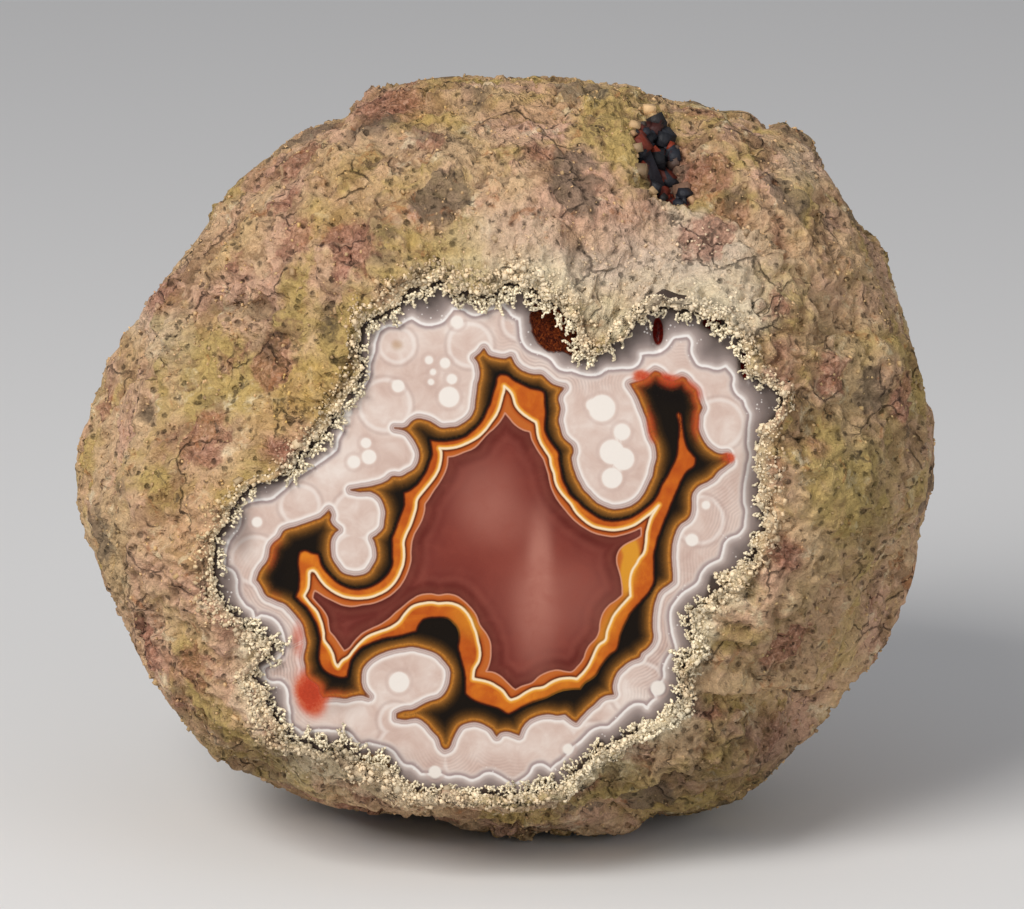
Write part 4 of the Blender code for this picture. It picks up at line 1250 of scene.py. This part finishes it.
class Paint:
    """A material's nodes, each made by one method, and the patterns that the stone's finishes share."""

    def __init__(self, name):
        self.material = bpy.data.materials.new(name)
        self.material.use_nodes = True
        self.nodes = self.material.node_tree.nodes
        self.links = self.material.node_tree.links
        self.shader = self.nodes["Principled BSDF"]
        self.place = self.node("ShaderNodeTexCoord", {}, {}, "Object")

    def feed(self, node, inputs):
        """Set or link a node's inputs, given by name or number."""
        for key, value in inputs.items():
            if isinstance(value, Socket):
                self.links.new(value.socket, node.inputs[key])
            else:
                node.inputs[key].default_value = value

    def node(self, kind, settings, inputs, output=0):
        """A new node: its settings first, then its inputs. Gives the wanted output."""
        node = self.nodes.new(kind)
        for key, value in settings.items():
            if key == "stops":
                for _ in range(len(value) - 2):
                    node.color_ramp.elements.new(0.5)
                for element, (position, colour) in zip(node.color_ramp.elements, value):
                    element.position = position
                    element.color = colour
            else:
                setattr(node, key, value)
        self.feed(node, inputs)
        return Socket(self, node.outputs[output])

    def field(self, name):
        """One of the piece's fields."""
        return self.node("ShaderNodeAttribute", {"attribute_name": name}, {}, "Fac")

    def noise(self, wavelength, detail=2.0, roughness=0.5, distortion=0.0, place=None):
        """Cloudy noise from 0 to 1 with a wavelength in metres."""
        inputs = {"Vector": place or self.place, "Scale": 1.0 / wavelength, "Detail": detail,
                  "Roughness": roughness, "Distortion": distortion}
        return self.node("ShaderNodeTexNoise", {}, inputs, "Fac")

    def cells(self, wavelength, output="Distance", feature="F1", place=None):
        """Cells of a size in metres: the distance in them, or a random colour for each."""
        inputs = {"Vector": place or self.place, "Scale": 1.0 / wavelength}
        return self.node("ShaderNodeTexVoronoi", {"feature": feature}, inputs, output)

    def ramp(self, value, *stops):
        """Colours along a value: each stop has its value and its colour."""
        low = stops[0][0]
        high = stops[-1][0]
        scaled = [((position - low) / (high - low), colour) for position, colour in stops]
        return self.node("ShaderNodeValToRGB", {"stops": scaled}, {0: (value - low) * (1.0 / (high - low))})

    def mix(self, factor, first, second):
        """The first colour where the factor is 0, the second where it is 1."""
        return self.node("ShaderNodeMix", {"data_type": "RGBA"}, {0: factor, 6: first, 7: second}, 2)

    def picked(self, size):
        """A steady random value for each cell of a size in metres."""
        return self.node("ShaderNodeSeparateColor", {}, {0: self.cells(size, "Color")})

    def scaled(self, colour, factor):
        """A colour with each of its parts multiplied by a value."""
        return self.node("ShaderNodeVectorMath", {"operation": "SCALE"}, {0: colour, "Scale": factor})

    def warped(self, reach, wavelength):
        """The object's coordinates pushed about by a noise of a wavelength, both in metres."""
        inputs = {"Vector": self.place, "Scale": 1.0 / wavelength, "Detail": 3.0}
        push = self.node("ShaderNodeTexNoise", {}, inputs, "Color")
        push = self.node("ShaderNodeVectorMath", {"operation": "SUBTRACT"}, {0: push, 1: (0.5, 0.5, 0.5)})
        return self.node("ShaderNodeVectorMath", {"operation": "ADD"},
                         {0: self.place, 1: self.scaled(push, 2.0 * reach)})

    def finish(self, colour, roughness, height=None, bump_distance=0.0, **constants):
        """Feed the shader, and give back the material. A height bends the normal."""
        self.feed(self.shader, {"Base Color": colour, "Roughness": roughness, "Metallic": 0.0})
        self.feed(self.shader, {key.replace("_", " "): value for key, value in constants.items()})
        if height is not None:
            inputs = {"Height": height, "Distance": bump_distance, "Strength": 1.0}
            self.feed(self.shader, {"Normal": self.node("ShaderNodeBump", {}, inputs)})
        return self.material


def tone(code):
    """Linear colour of a web colour such as 8d6a3e."""
    parts = [int(code[place:place + 2], 16) / 255.0 for place in (0, 2, 4)]
    linear = [part / 12.92 if part <= 0.04045 else ((part + 0.055) / 1.055) ** 2.4 for part in parts]
    return (*linear, 1.0)


def pixels(count):
    """Metres of a number of pixels."""
    return count * METRES_PER_PIXEL


@lru_cache(maxsize=None)
def rind_material():
    """Weathered rind: granular tan, ochre and brown patches, reddish clasts, dark stains and pores.

    The tint comes from broad noises, cells and the painted spots, some of them painted shade in
    hollows and creases, and the brightness of its grain from fine noises, small cells and the relief.
    That brightness is partly the grain's own tone and partly painted light and shade: high places
    lighter, low places, pores and cracks darker, and painted shade where the stone faces away from
    the light. Both are multiplied.
    """
    paint = Paint("weathered_rind")
    behind = paint.field("behind")
    relief = paint.field("relief")
    warped = paint.warped(0.0016, 0.003)
    fine = paint.noise(0.0013, 4.0, 0.65)
    speck = paint.noise(0.0005, 3.0, 0.7)
    medium = paint.noise(0.0042, 5.0, 0.68, 0.5)
    patchy = paint.noise(0.0062, 5.0, 0.7, 0.6, warped)

    tint = paint.mix(paint.noise(0.012, 4.0, 0.6).rise(0.40, 0.60), tone("c4a47f"), tone("c39b82"))
    tint = paint.mix(paint.noise(0.015, 4.0, 0.6, 0.4, warped).rise(0.46, 0.60), tint, tone("b2975f"))
    tint = paint.mix(patchy.rise(0.50, 0.62) * 0.75, tint, tone("8a6b4f"))
    tint = paint.mix(medium.rise(0.56, 0.70) * 0.7, tint, tone("e2d1ae"))
    tint = paint.mix(medium.rise(0.42, 0.32) * 0.6, tint, tone("7a5c40"))
    tint = paint.mix(paint.field("ochre").most(behind * 0.3) * 0.6, tint, tone("bb9856"))
    tint = paint.mix(paint.field("olive").most(behind * 0.35) * 0.6, tint, tone("8f7d50"))
    pale = paint.field("pale") * (0.55 + medium * 0.8)
    tint = paint.mix(pale, tint, tone("cdbba5"))

    clast = paint.cells(0.0075, "Color", place=warped)
    pick = paint.node("ShaderNodeSeparateColor", {}, {0: clast})
    inside = (paint.cells(0.0075, place=warped) + fine * 0.3).rise(0.66, 0.52)
    mottle = paint.ramp(speck * 0.6 + fine * 0.4, (0.36, tone("5d3a2e")), (0.5, tone("935f4d")),
                        (0.62, tone("b98c78")))
    rust = paint.field("rust") * medium.rise(0.2, 0.45)
    rust = rust.most(pick.rise(0.78, 0.79) * inside * 0.8)
    tint = paint.mix(rust * 0.85, tint, mottle)
    tint = paint.mix(pick.rise(0.17, 0.16) * inside * 0.7, tint, tone("70604f"))
    rusty = paint.noise(0.0034, 4.0, 0.7, 0.8).rise(0.58, 0.70)
    tint = paint.mix(rusty * 0.55, tint, tone("a0653c"))
    crust = (paint.field("cream") + paint.field("lip").rise(0.55, 1.0) * 0.5) * fine.rise(0.25, 0.55)
    tint = paint.mix(crust.least(0.85), tint, tone("dccdac"))
    # Dark stains, partly painted shade in hollows and creases.
    stain = paint.field("stain") * fine.rise(0.3, 0.5)
    stain = stain.most(paint.noise(0.0036, 5.0, 0.72, 0.6, warped).rise(0.60, 0.68) * 0.8)
    tint = paint.mix(stain * 0.85, tint, tone("453a31"))
    pit = paint.field("crystal").rise(0.25, 0.6)
    tint = paint.mix(pit, tint, paint.ramp(fine, (0.4, tone("17141a")), (0.55, tone("45170c"))))

    grain = paint.picked(0.00042)
    dust = paint.picked(0.00022)
    pore = paint.cells(0.0012).rise(0.36, 0.14) * fine.rise(0.56, 0.42)
    crack = paint.cells(0.0058, feature="DISTANCE_TO_EDGE", place=warped).rise(0.035, 0.0)
    crack = crack * paint.noise(0.006, 2.0).rise(0.5, 0.62)
    # The brightness is partly the grain's own tone and partly painted light and shade: it follows the same
    # noises as the bump, so raised grains are lighter, the relief lightens high places and darkens low ones,
    # and pores and cracks are darker.
    light = 0.30 + fine * 0.62 + speck * 0.42 + grain * 0.20 + dust * 0.14 + relief * 0.05
    light = light * (1.0 - pore * 0.55) * (1.0 - crack * 0.6) * (1.0 - relief.rise(0.0, -1.5) * 0.55)
    # Painted shade from the shade spots.
    light = light * (1.0 - paint.field("shade") * 0.45)
    colour = paint.scaled(tint, light * RIND_BRIGHTNESS)
    height = fine * 0.55 + speck * 0.65 + grain * 0.10 + dust * 0.05 - pore * 0.5 - crack * 0.4
    return paint.finish(colour, 0.92, height, 0.0008, Specular_IOR_Level=0.2)


@lru_cache(maxsize=None)
def grain_material():
    """Sugary grains: cream by the lip, tan elsewhere, and dark glassy crystals in the pit."""
    paint = Paint("sugary_grains")
    tint = paint.field("tint")
    fine = paint.noise(0.0004, 2.0, 0.5)
    light = (0.45 + tint * 0.75 + fine * 0.3) * RIND_BRIGHTNESS
    colour = paint.mix(paint.field("ochre"), tone("b9986f"), tone("bb9856"))
    colour = paint.mix(paint.field("olive") * 0.7, colour, tone("8f7d50"))
    colour = paint.mix(paint.field("rust") * 0.7, colour, tone("8f5e4c"))
    colour = paint.mix(paint.field("pale") * 0.8, colour, tone("cdbba5"))
    crust = paint.field("cream").most(paint.field("lip") * 0.75)
    colour = paint.mix(crust, colour, tone("ddcfb2"))
    # Painted shade on the grains where the stone faces away from the light.
    light = light * (1.0 - paint.field("shade") * 0.45)
    dark = paint.ramp(tint, (0.0, tone("0b0b10")), (0.62, tone("22242c")), (0.7, tone("3a130c")),
                      (1.0, tone("7a2a12")))
    colour = paint.mix(paint.field("crystal").rise(0.3, 0.6), paint.scaled(colour, light), dark)
    return paint.finish(colour, 0.6, fine, 0.0001, Specular_IOR_Level=0.35)


@lru_cache(maxsize=None)
def agate_material():
    """Banded agate: milky white, a brown to black band, orange, a cream line and a maroon core."""
    paint = Paint("banded_agate")
    shiver = (paint.noise(pixels(9), 3.0, 0.6) - 0.5) * 1.6
    white = paint.field("white_edge") + shiver
    black = paint.field("black_edge") + shiver
    cream = paint.field("cream_line") + shiver * 0.6
    core = paint.field("core_edge") + shiver * 0.5
    scallop = paint.field("scallop") + shiver
    rim = paint.field("rim")
    red = paint.field("red")
    broad = paint.noise(pixels(60), 3.0, 0.5)
    cloud = paint.noise(pixels(22), 4.0, 0.55, 0.5)
    speck = paint.noise(pixels(2.5), 2.0, 0.6)

    milk = paint.ramp(cloud * 0.6 + broad * 0.4 + paint.field("cloud") * 0.12, (0.32, tone("cbaea1")),
                      (0.45, tone("d7bdb0")), (0.55, tone("dfc9bd")), (0.7, tone("ebdcd2")))
    outer = paint.ramp(
        white, (0.0, tone("6b3a24")), (0.8, tone("9c7260")), (1.7, tone("cbb5ac")), (2.5, tone("b59d97")),
        (3.6, tone("cfbab1")), (4.6, tone("bea79f")), (6.2, tone("f1e8e1")), (7.4, tone("ecddd3")),
        (9.5, tone("dcc6ba")), (11.0, tone("d8c0b3")),
    )
    colour = paint.mix(white.rise(7.0, 12.0), outer, milk)
    stripes = (white * (2.0 * math.pi / 3.2) + cloud * 5.0).wave()
    colour = paint.mix(stripes * paint.field("stripe") * white.rise(4.0, 9.0) * 0.5, colour, tone("a9928c"))
    lobe = paint.field("lobe") + shiver
    free = white.rise(6.0, 10.0)
    colour = paint.mix(lobe.bump_at(1.0, 3.0) * 0.35 * free, colour, tone("b59d95"))
    colour = paint.mix(lobe.bump_at(-3.0, 3.5) * 0.5 * free, colour, tone("f3eae3"))

    # The margin: the agate's own grey-mauve round the scalloped white line, with a painted shadow line just
    # inside that line and painted shade darkening out towards the rim.
    margin = paint.ramp(
        scallop, (-8.0, tone("e6d9d1")), (-5.0, tone("d6c4bb")), (-2.2, tone("a69390")),
        (-1.2, tone("b5a29e")), (-0.4, tone("f0e9e4")), (0.9, tone("f0e9e4")), (2.5, tone("cbbcb5")),
        (6.0, tone("a69690")), (12.0, tone("897b76")), (22.0, tone("6b5f5a")),
    )
    colour = paint.mix(scallop.rise(-8.0, -3.5), colour, margin)
    # Painted shade on the agate's edge under the overhanging lip.
    under_lip_shade = rim.rise(-6.5, -1.5)
    colour = paint.mix(under_lip_shade * 0.85, colour, tone("4a3d36"))
    # Painted shadow where the lip overhangs the agate's margin.
    colour = paint.mix(paint.field("gloom") * 0.7, colour, tone("6f605a"))
    # Painted glints: small painted highlights on the margin.
    glints = paint.cells(pixels(5.0)).rise(0.24, 0.12) * paint.noise(pixels(14), 1.0).rise(0.5, 0.6)
    colour = paint.mix(glints * scallop.rise(-14.0, 4.0) * 0.7, colour, tone("f3ece6"))

    eye = paint.field("eye") + shiver * 0.5
    colour = paint.mix(eye.bump_at(3.0, 3.0) * 0.4, colour, tone("c9aea3"))
    colour = paint.mix(eye.rise(1.5, -1.0), colour, tone("f1e8df"))

    red_tint = paint.ramp(cloud * 0.5 + speck * 0.2 + red * 0.3, (0.35, tone("dba593")),
                          (0.48, tone("cf6a4a")), (0.62, tone("c0452a")), (0.8, tone("98301c")))
    colour = paint.mix(red.rise(0.1, 0.7) * white.rise(-1.0, 1.0), colour, red_tint)
    colour = paint.mix(paint.field("amber").rise(0.2, 0.8), colour, tone("a8772f"))

    band = paint.ramp(
        -white, (0.0, tone("7c4426")), (1.0, tone("a9651f")), (2.6, tone("bf7c30")), (3.6, tone("9c6226")),
        (5.0, tone("7f521f")), (6.0, tone("704619")), (8.5, tone("4c3010")), (11.5, tone("2e1d0a")),
        (15.0, tone("150d06")),
    )
    red_band = paint.ramp(-white, (0.0, tone("c2482a")), (4.0, tone("a93a1c")), (8.0, tone("4a1608")),
                          (11.0, tone("0f0805")))
    band = paint.mix(red, band, red_band)
    band = paint.mix(black.rise(3.6, 0.6), band, tone("120b05"))
    band = paint.mix((speck - 0.5).rise(-0.1, 0.3) * 0.5 * white.rise(-14.0, -4.0), band, tone("6b4a22"))
    colour = paint.mix(white.rise(0.35, -0.35), colour, band)

    warm = paint.ramp(cloud * 0.6 + broad * 0.4, (0.35, tone("b04a16")), (0.5, tone("c4601c")),
                      (0.65, tone("dc7f22")))
    orange = paint.ramp(-black, (0.0, tone("1e0a04")), (1.4, tone("4f1a06")), (3.2, tone("b4541a")))
    orange = paint.mix(black.rise(-1.5, -4.5), orange, warm)
    yellow = paint.field("yellow")
    orange = paint.mix(yellow * 0.7, orange, tone("e09a2c"))
    orange = paint.mix(cream.rise(4.6, 1.2) * black.rise(-2.0, -5.0), orange, tone("eca63c"))
    colour = paint.mix(black.rise(0.3, -0.3), colour, orange)

    inner = paint.ramp(
        -cream, (0.8, tone("c98a5c")), (1.7, tone("5a2408")), (2.6, tone("7c3410")), (4.0, tone("b5561f")),
        (6.5, tone("c0662a")),
    )
    inner = paint.mix(yellow.rise(0.1, 0.6), inner, tone("d9952e"))
    colour = paint.mix(cream.rise(0.2, -0.6), colour, inner)
    colour = paint.mix(cream.bump_at(0.0, 2.0), colour, tone("f8e4bf"))

    arcs = (core * 0.55 + broad * 8.0).wave()
    heart = paint.ramp(-core, (0.0, tone("57201a")), (5.0, tone("5f231b")), (16.0, tone("74322a")),
                       (34.0, tone("7f392f")), (70.0, tone("8a4236")))
    heart = paint.mix(paint.field("glow"), heart, tone("bb7c6c"))
    heart = paint.mix(cloud.rise(0.4, 0.75) * 0.3, heart, tone("93493c"))
    heart = paint.mix(arcs * core.rise(-34.0, -8.0) * 0.16, heart, tone("a8604f"))
    colour = paint.mix(core.rise(0.6, -0.6), colour, heart)
    colour = paint.mix(core.bump_at(0.2, 1.4) * 0.85, colour, tone("d39478"))

    fibre = paint.noise(pixels(5), 5.0, 0.7, 2.0)
    iron = paint.ramp(fibre, (0.32, tone("1c0a06")), (0.45, tone("5a2210")), (0.56, tone("8d3d18")),
                      (0.7, tone("c0662a")))
    slot_tint = paint.ramp(fibre, (0.3, tone("1a0504")), (0.7, tone("7c1e14")))
    pocket = (paint.field("pocket") + (cloud - 0.5) * 0.5).rise(0.35, 0.5)
    colour = paint.mix(pocket, colour, iron)
    colour = paint.mix((paint.field("slot") + (cloud - 0.5) * 0.4).rise(0.4, 0.6), colour, slot_tint)
    rough = pocket * 0.6 + 0.22
    height = fibre * pocket + speck * 0.03
    colour = paint.scaled(colour, AGATE_BRIGHTNESS)
    return paint.finish(colour, rough, height, 0.0008, Specular_IOR_Level=0.1)


def lamp(name, place, aim, size, power, colour):
    """A soft square light that looks at a point."""
    data = bpy.data.lights.new(name, "AREA")
    data.shape = "SQUARE"
    data.size = size
    data.energy = power
    data.color = colour
    light = bpy.data.objects.new(name, data)
    light.location = place
    light.rotation_euler = (Vector(aim) - Vector(place)).to_track_quat("-Z", "Y").to_euler()
    bpy.context.scene.collection.objects.link(light)


def make_floor(settings):
    """A plain pale floor: a flat disc of one ring of points round its middle, at floor height."""
    turn = 2.0 * math.pi * np.arange(FLOOR_SIDES) / FLOOR_SIDES
    circle = np.stack((np.cos(turn), np.sin(turn), np.zeros(FLOOR_SIDES)), axis=-1) * FLOOR_RADIUS
    mesh = bpy.data.meshes.new("floor")
    mesh.from_pydata(circle.tolist(), [], [list(range(FLOOR_SIDES))])
    paint = Paint("pale_floor")
    cloud = paint.noise(FLOOR_MOTTLE, 2.0)
    dim = tuple(part * FLOOR_DIM for part in settings.floor_colour)
    colour = paint.mix(cloud, (*settings.floor_colour, 1.0), (*dim, 1.0))
    mesh.materials.append(paint.finish(colour, 0.85, Specular_IOR_Level=0.1))
    floor = bpy.data.objects.new("floor", mesh)
    bpy.context.scene.collection.objects.link(floor)


class AgateRind(bpy.types.PropertyGroup):
    """What a user may change on the rind."""

    relief: FloatProperty(
        name="Relief", description="Height of the rind's fine relief, as a part of the real stone's",
        default=1.0, min=0.0, max=2.0)


class AgateGrains(bpy.types.PropertyGroup):
    """What a user may change on the grains."""

    grain_size: FloatProperty(
        name="Grain size", description="Mean size of a sugary grain", default=0.00019,
        min=0.0001, max=0.001, precision=5, subtype="DISTANCE", unit="LENGTH")
    lip_count: IntProperty(
        name="Lip grains", description="Grains on the crust round the window", default=11000,
        min=100, max=16000)
    rind_count: IntProperty(
        name="Rind grains", description="Grains strewn over the front", default=5500,
        min=100, max=16000)
    fringe_count: IntProperty(
        name="Fringe branches", description="Branches of the crust that reach over the agate", default=1100,
        min=10, max=3000)


class AgateStage(bpy.types.PropertyGroup):
    """What a user may change on the stage."""

    floor_colour: FloatVectorProperty(
        name="Floor colour", description="Colour of the plain floor", default=(0.78, 0.77, 0.76),
        min=0.0, max=1.0, subtype="COLOR")
    key_power: FloatProperty(
        name="Key light", description="Power of the soft light from the upper left", default=8.2,
        min=0.0, subtype="POWER", unit="POWER")
    fill_power: FloatProperty(
        name="Fill light", description="Power of the soft light from the right", default=1.6,
        min=0.0, subtype="POWER", unit="POWER")
    sky_strength: FloatProperty(
        name="Sky", description="Strength of the pale light from all around", default=0.34, min=0.0)


class AGATE_OT_rind(bpy.types.Operator):
    """Make the front and the back of the rind"""

    bl_idname = "agate.rind"
    bl_label = "Rind"
    bl_options = {"REGISTER", "UNDO"}

    def execute(self, context):
        make_rind()
        return {"FINISHED"}


class AGATE_OT_window(bpy.types.Operator):
    """Make the banded agate in the window"""

    bl_idname = "agate.window"
    bl_label = "Agate window"
    bl_options = {"REGISTER", "UNDO"}

    def execute(self, context):
        make_agate()
        return {"FINISHED"}


class AGATE_OT_grains(bpy.types.Operator):
    """Make the grains of the rind and the branching fringe on the agate"""

    bl_idname = "agate.grains"
    bl_label = "Grains and fringe"
    bl_options = {"REGISTER", "UNDO"}

    def execute(self, context):
        make_rind_grains()
        make_fringe()
        return {"FINISHED"}


class AGATE_OT_stage(bpy.types.Operator):
    """Make the floor, the lights and the camera"""

    bl_idname = "agate.stage"
    bl_label = "Stage"
    bl_options = {"REGISTER", "UNDO"}

    def execute(self, context):
        settings = context.scene.agate_stage
        make_floor(settings)
        middle = -floor_shift()
        aim = (0.0, 0.0, middle[2])
        lamp("key", KEY_PLACE, aim, KEY_SIZE, settings.key_power, KEY_TINT)
        lamp("fill", FILL_PLACE, aim, FILL_SIZE, settings.fill_power, FILL_TINT)
        world = bpy.data.worlds.new("pale_sky")
        world.use_nodes = True
        sky = world.node_tree.nodes["Background"]
        sky.inputs["Color"].default_value = SKY_TINT
        sky.inputs["Strength"].default_value = settings.sky_strength
        context.scene.world = world
        context.scene.view_settings.view_transform = "Standard"
        data = bpy.data.cameras.new("view")
        data.sensor_width = SENSOR_WIDTH_MM
        data.lens = SENSOR_WIDTH_MM * VIEW_DISTANCE / (VIEW_WIDTH * METRES_PER_PIXEL)
        data.clip_start = NEAREST_SEEN
        camera = bpy.data.objects.new("view", data)
        back = np.array((0.0, -math.cos(VIEW_ELEVATION), math.sin(VIEW_ELEVATION)))
        camera.location = middle + back * VIEW_DISTANCE
        camera.rotation_euler = (math.pi / 2.0 - VIEW_ELEVATION, 0.0, 0.0)
        context.scene.collection.objects.link(camera)
        context.scene.camera = camera
        return {"FINISHED"}


class AGATE_PT_panel(bpy.types.Panel):
    """Lists the steps and what may be changed in each"""

    bl_idname = "AGATE_PT_panel"
    bl_label = "Agate Nodule"
    bl_space_type = "VIEW_3D"
    bl_region_type = "UI"
    bl_category = "Agate"

    def draw(self, context):
        for operator, group in STEPS:
            box = self.layout.box()
            box.operator(operator.bl_idname)
            if group:
                settings = getattr(context.scene, group)
                for name in settings.__annotations__:
                    box.prop(settings, name)


STEPS = (
    (AGATE_OT_rind, "agate_rind"),
    (AGATE_OT_window, None),
    (AGATE_OT_grains, "agate_grains"),
    (AGATE_OT_stage, "agate_stage"),
)
GROUPS = {"agate_rind": AgateRind, "agate_grains": AgateGrains, "agate_stage": AgateStage}
CLASSES = (*GROUPS.values(), *(operator for operator, group in STEPS), AGATE_PT_panel)


def register():
    """Add the classes to Blender, and the settings to its scenes."""
    for item in CLASSES:
        bpy.utils.register_class(item)
    for name, group in GROUPS.items():
        setattr(bpy.types.Scene, name, bpy.props.PointerProperty(type=group))


def unregister():
    """Take the settings and the classes out of Blender again."""
    for name in GROUPS:
        delattr(bpy.types.Scene, name)
    for item in reversed(CLASSES):
        bpy.utils.unregister_class(item)


def main():
    """Make every piece and the stage."""
    register()
    bpy.ops.agate.rind()
    bpy.ops.agate.window()
    bpy.ops.agate.grains()
    bpy.ops.agate.stage()


if __name__ == "__main__":
    main()
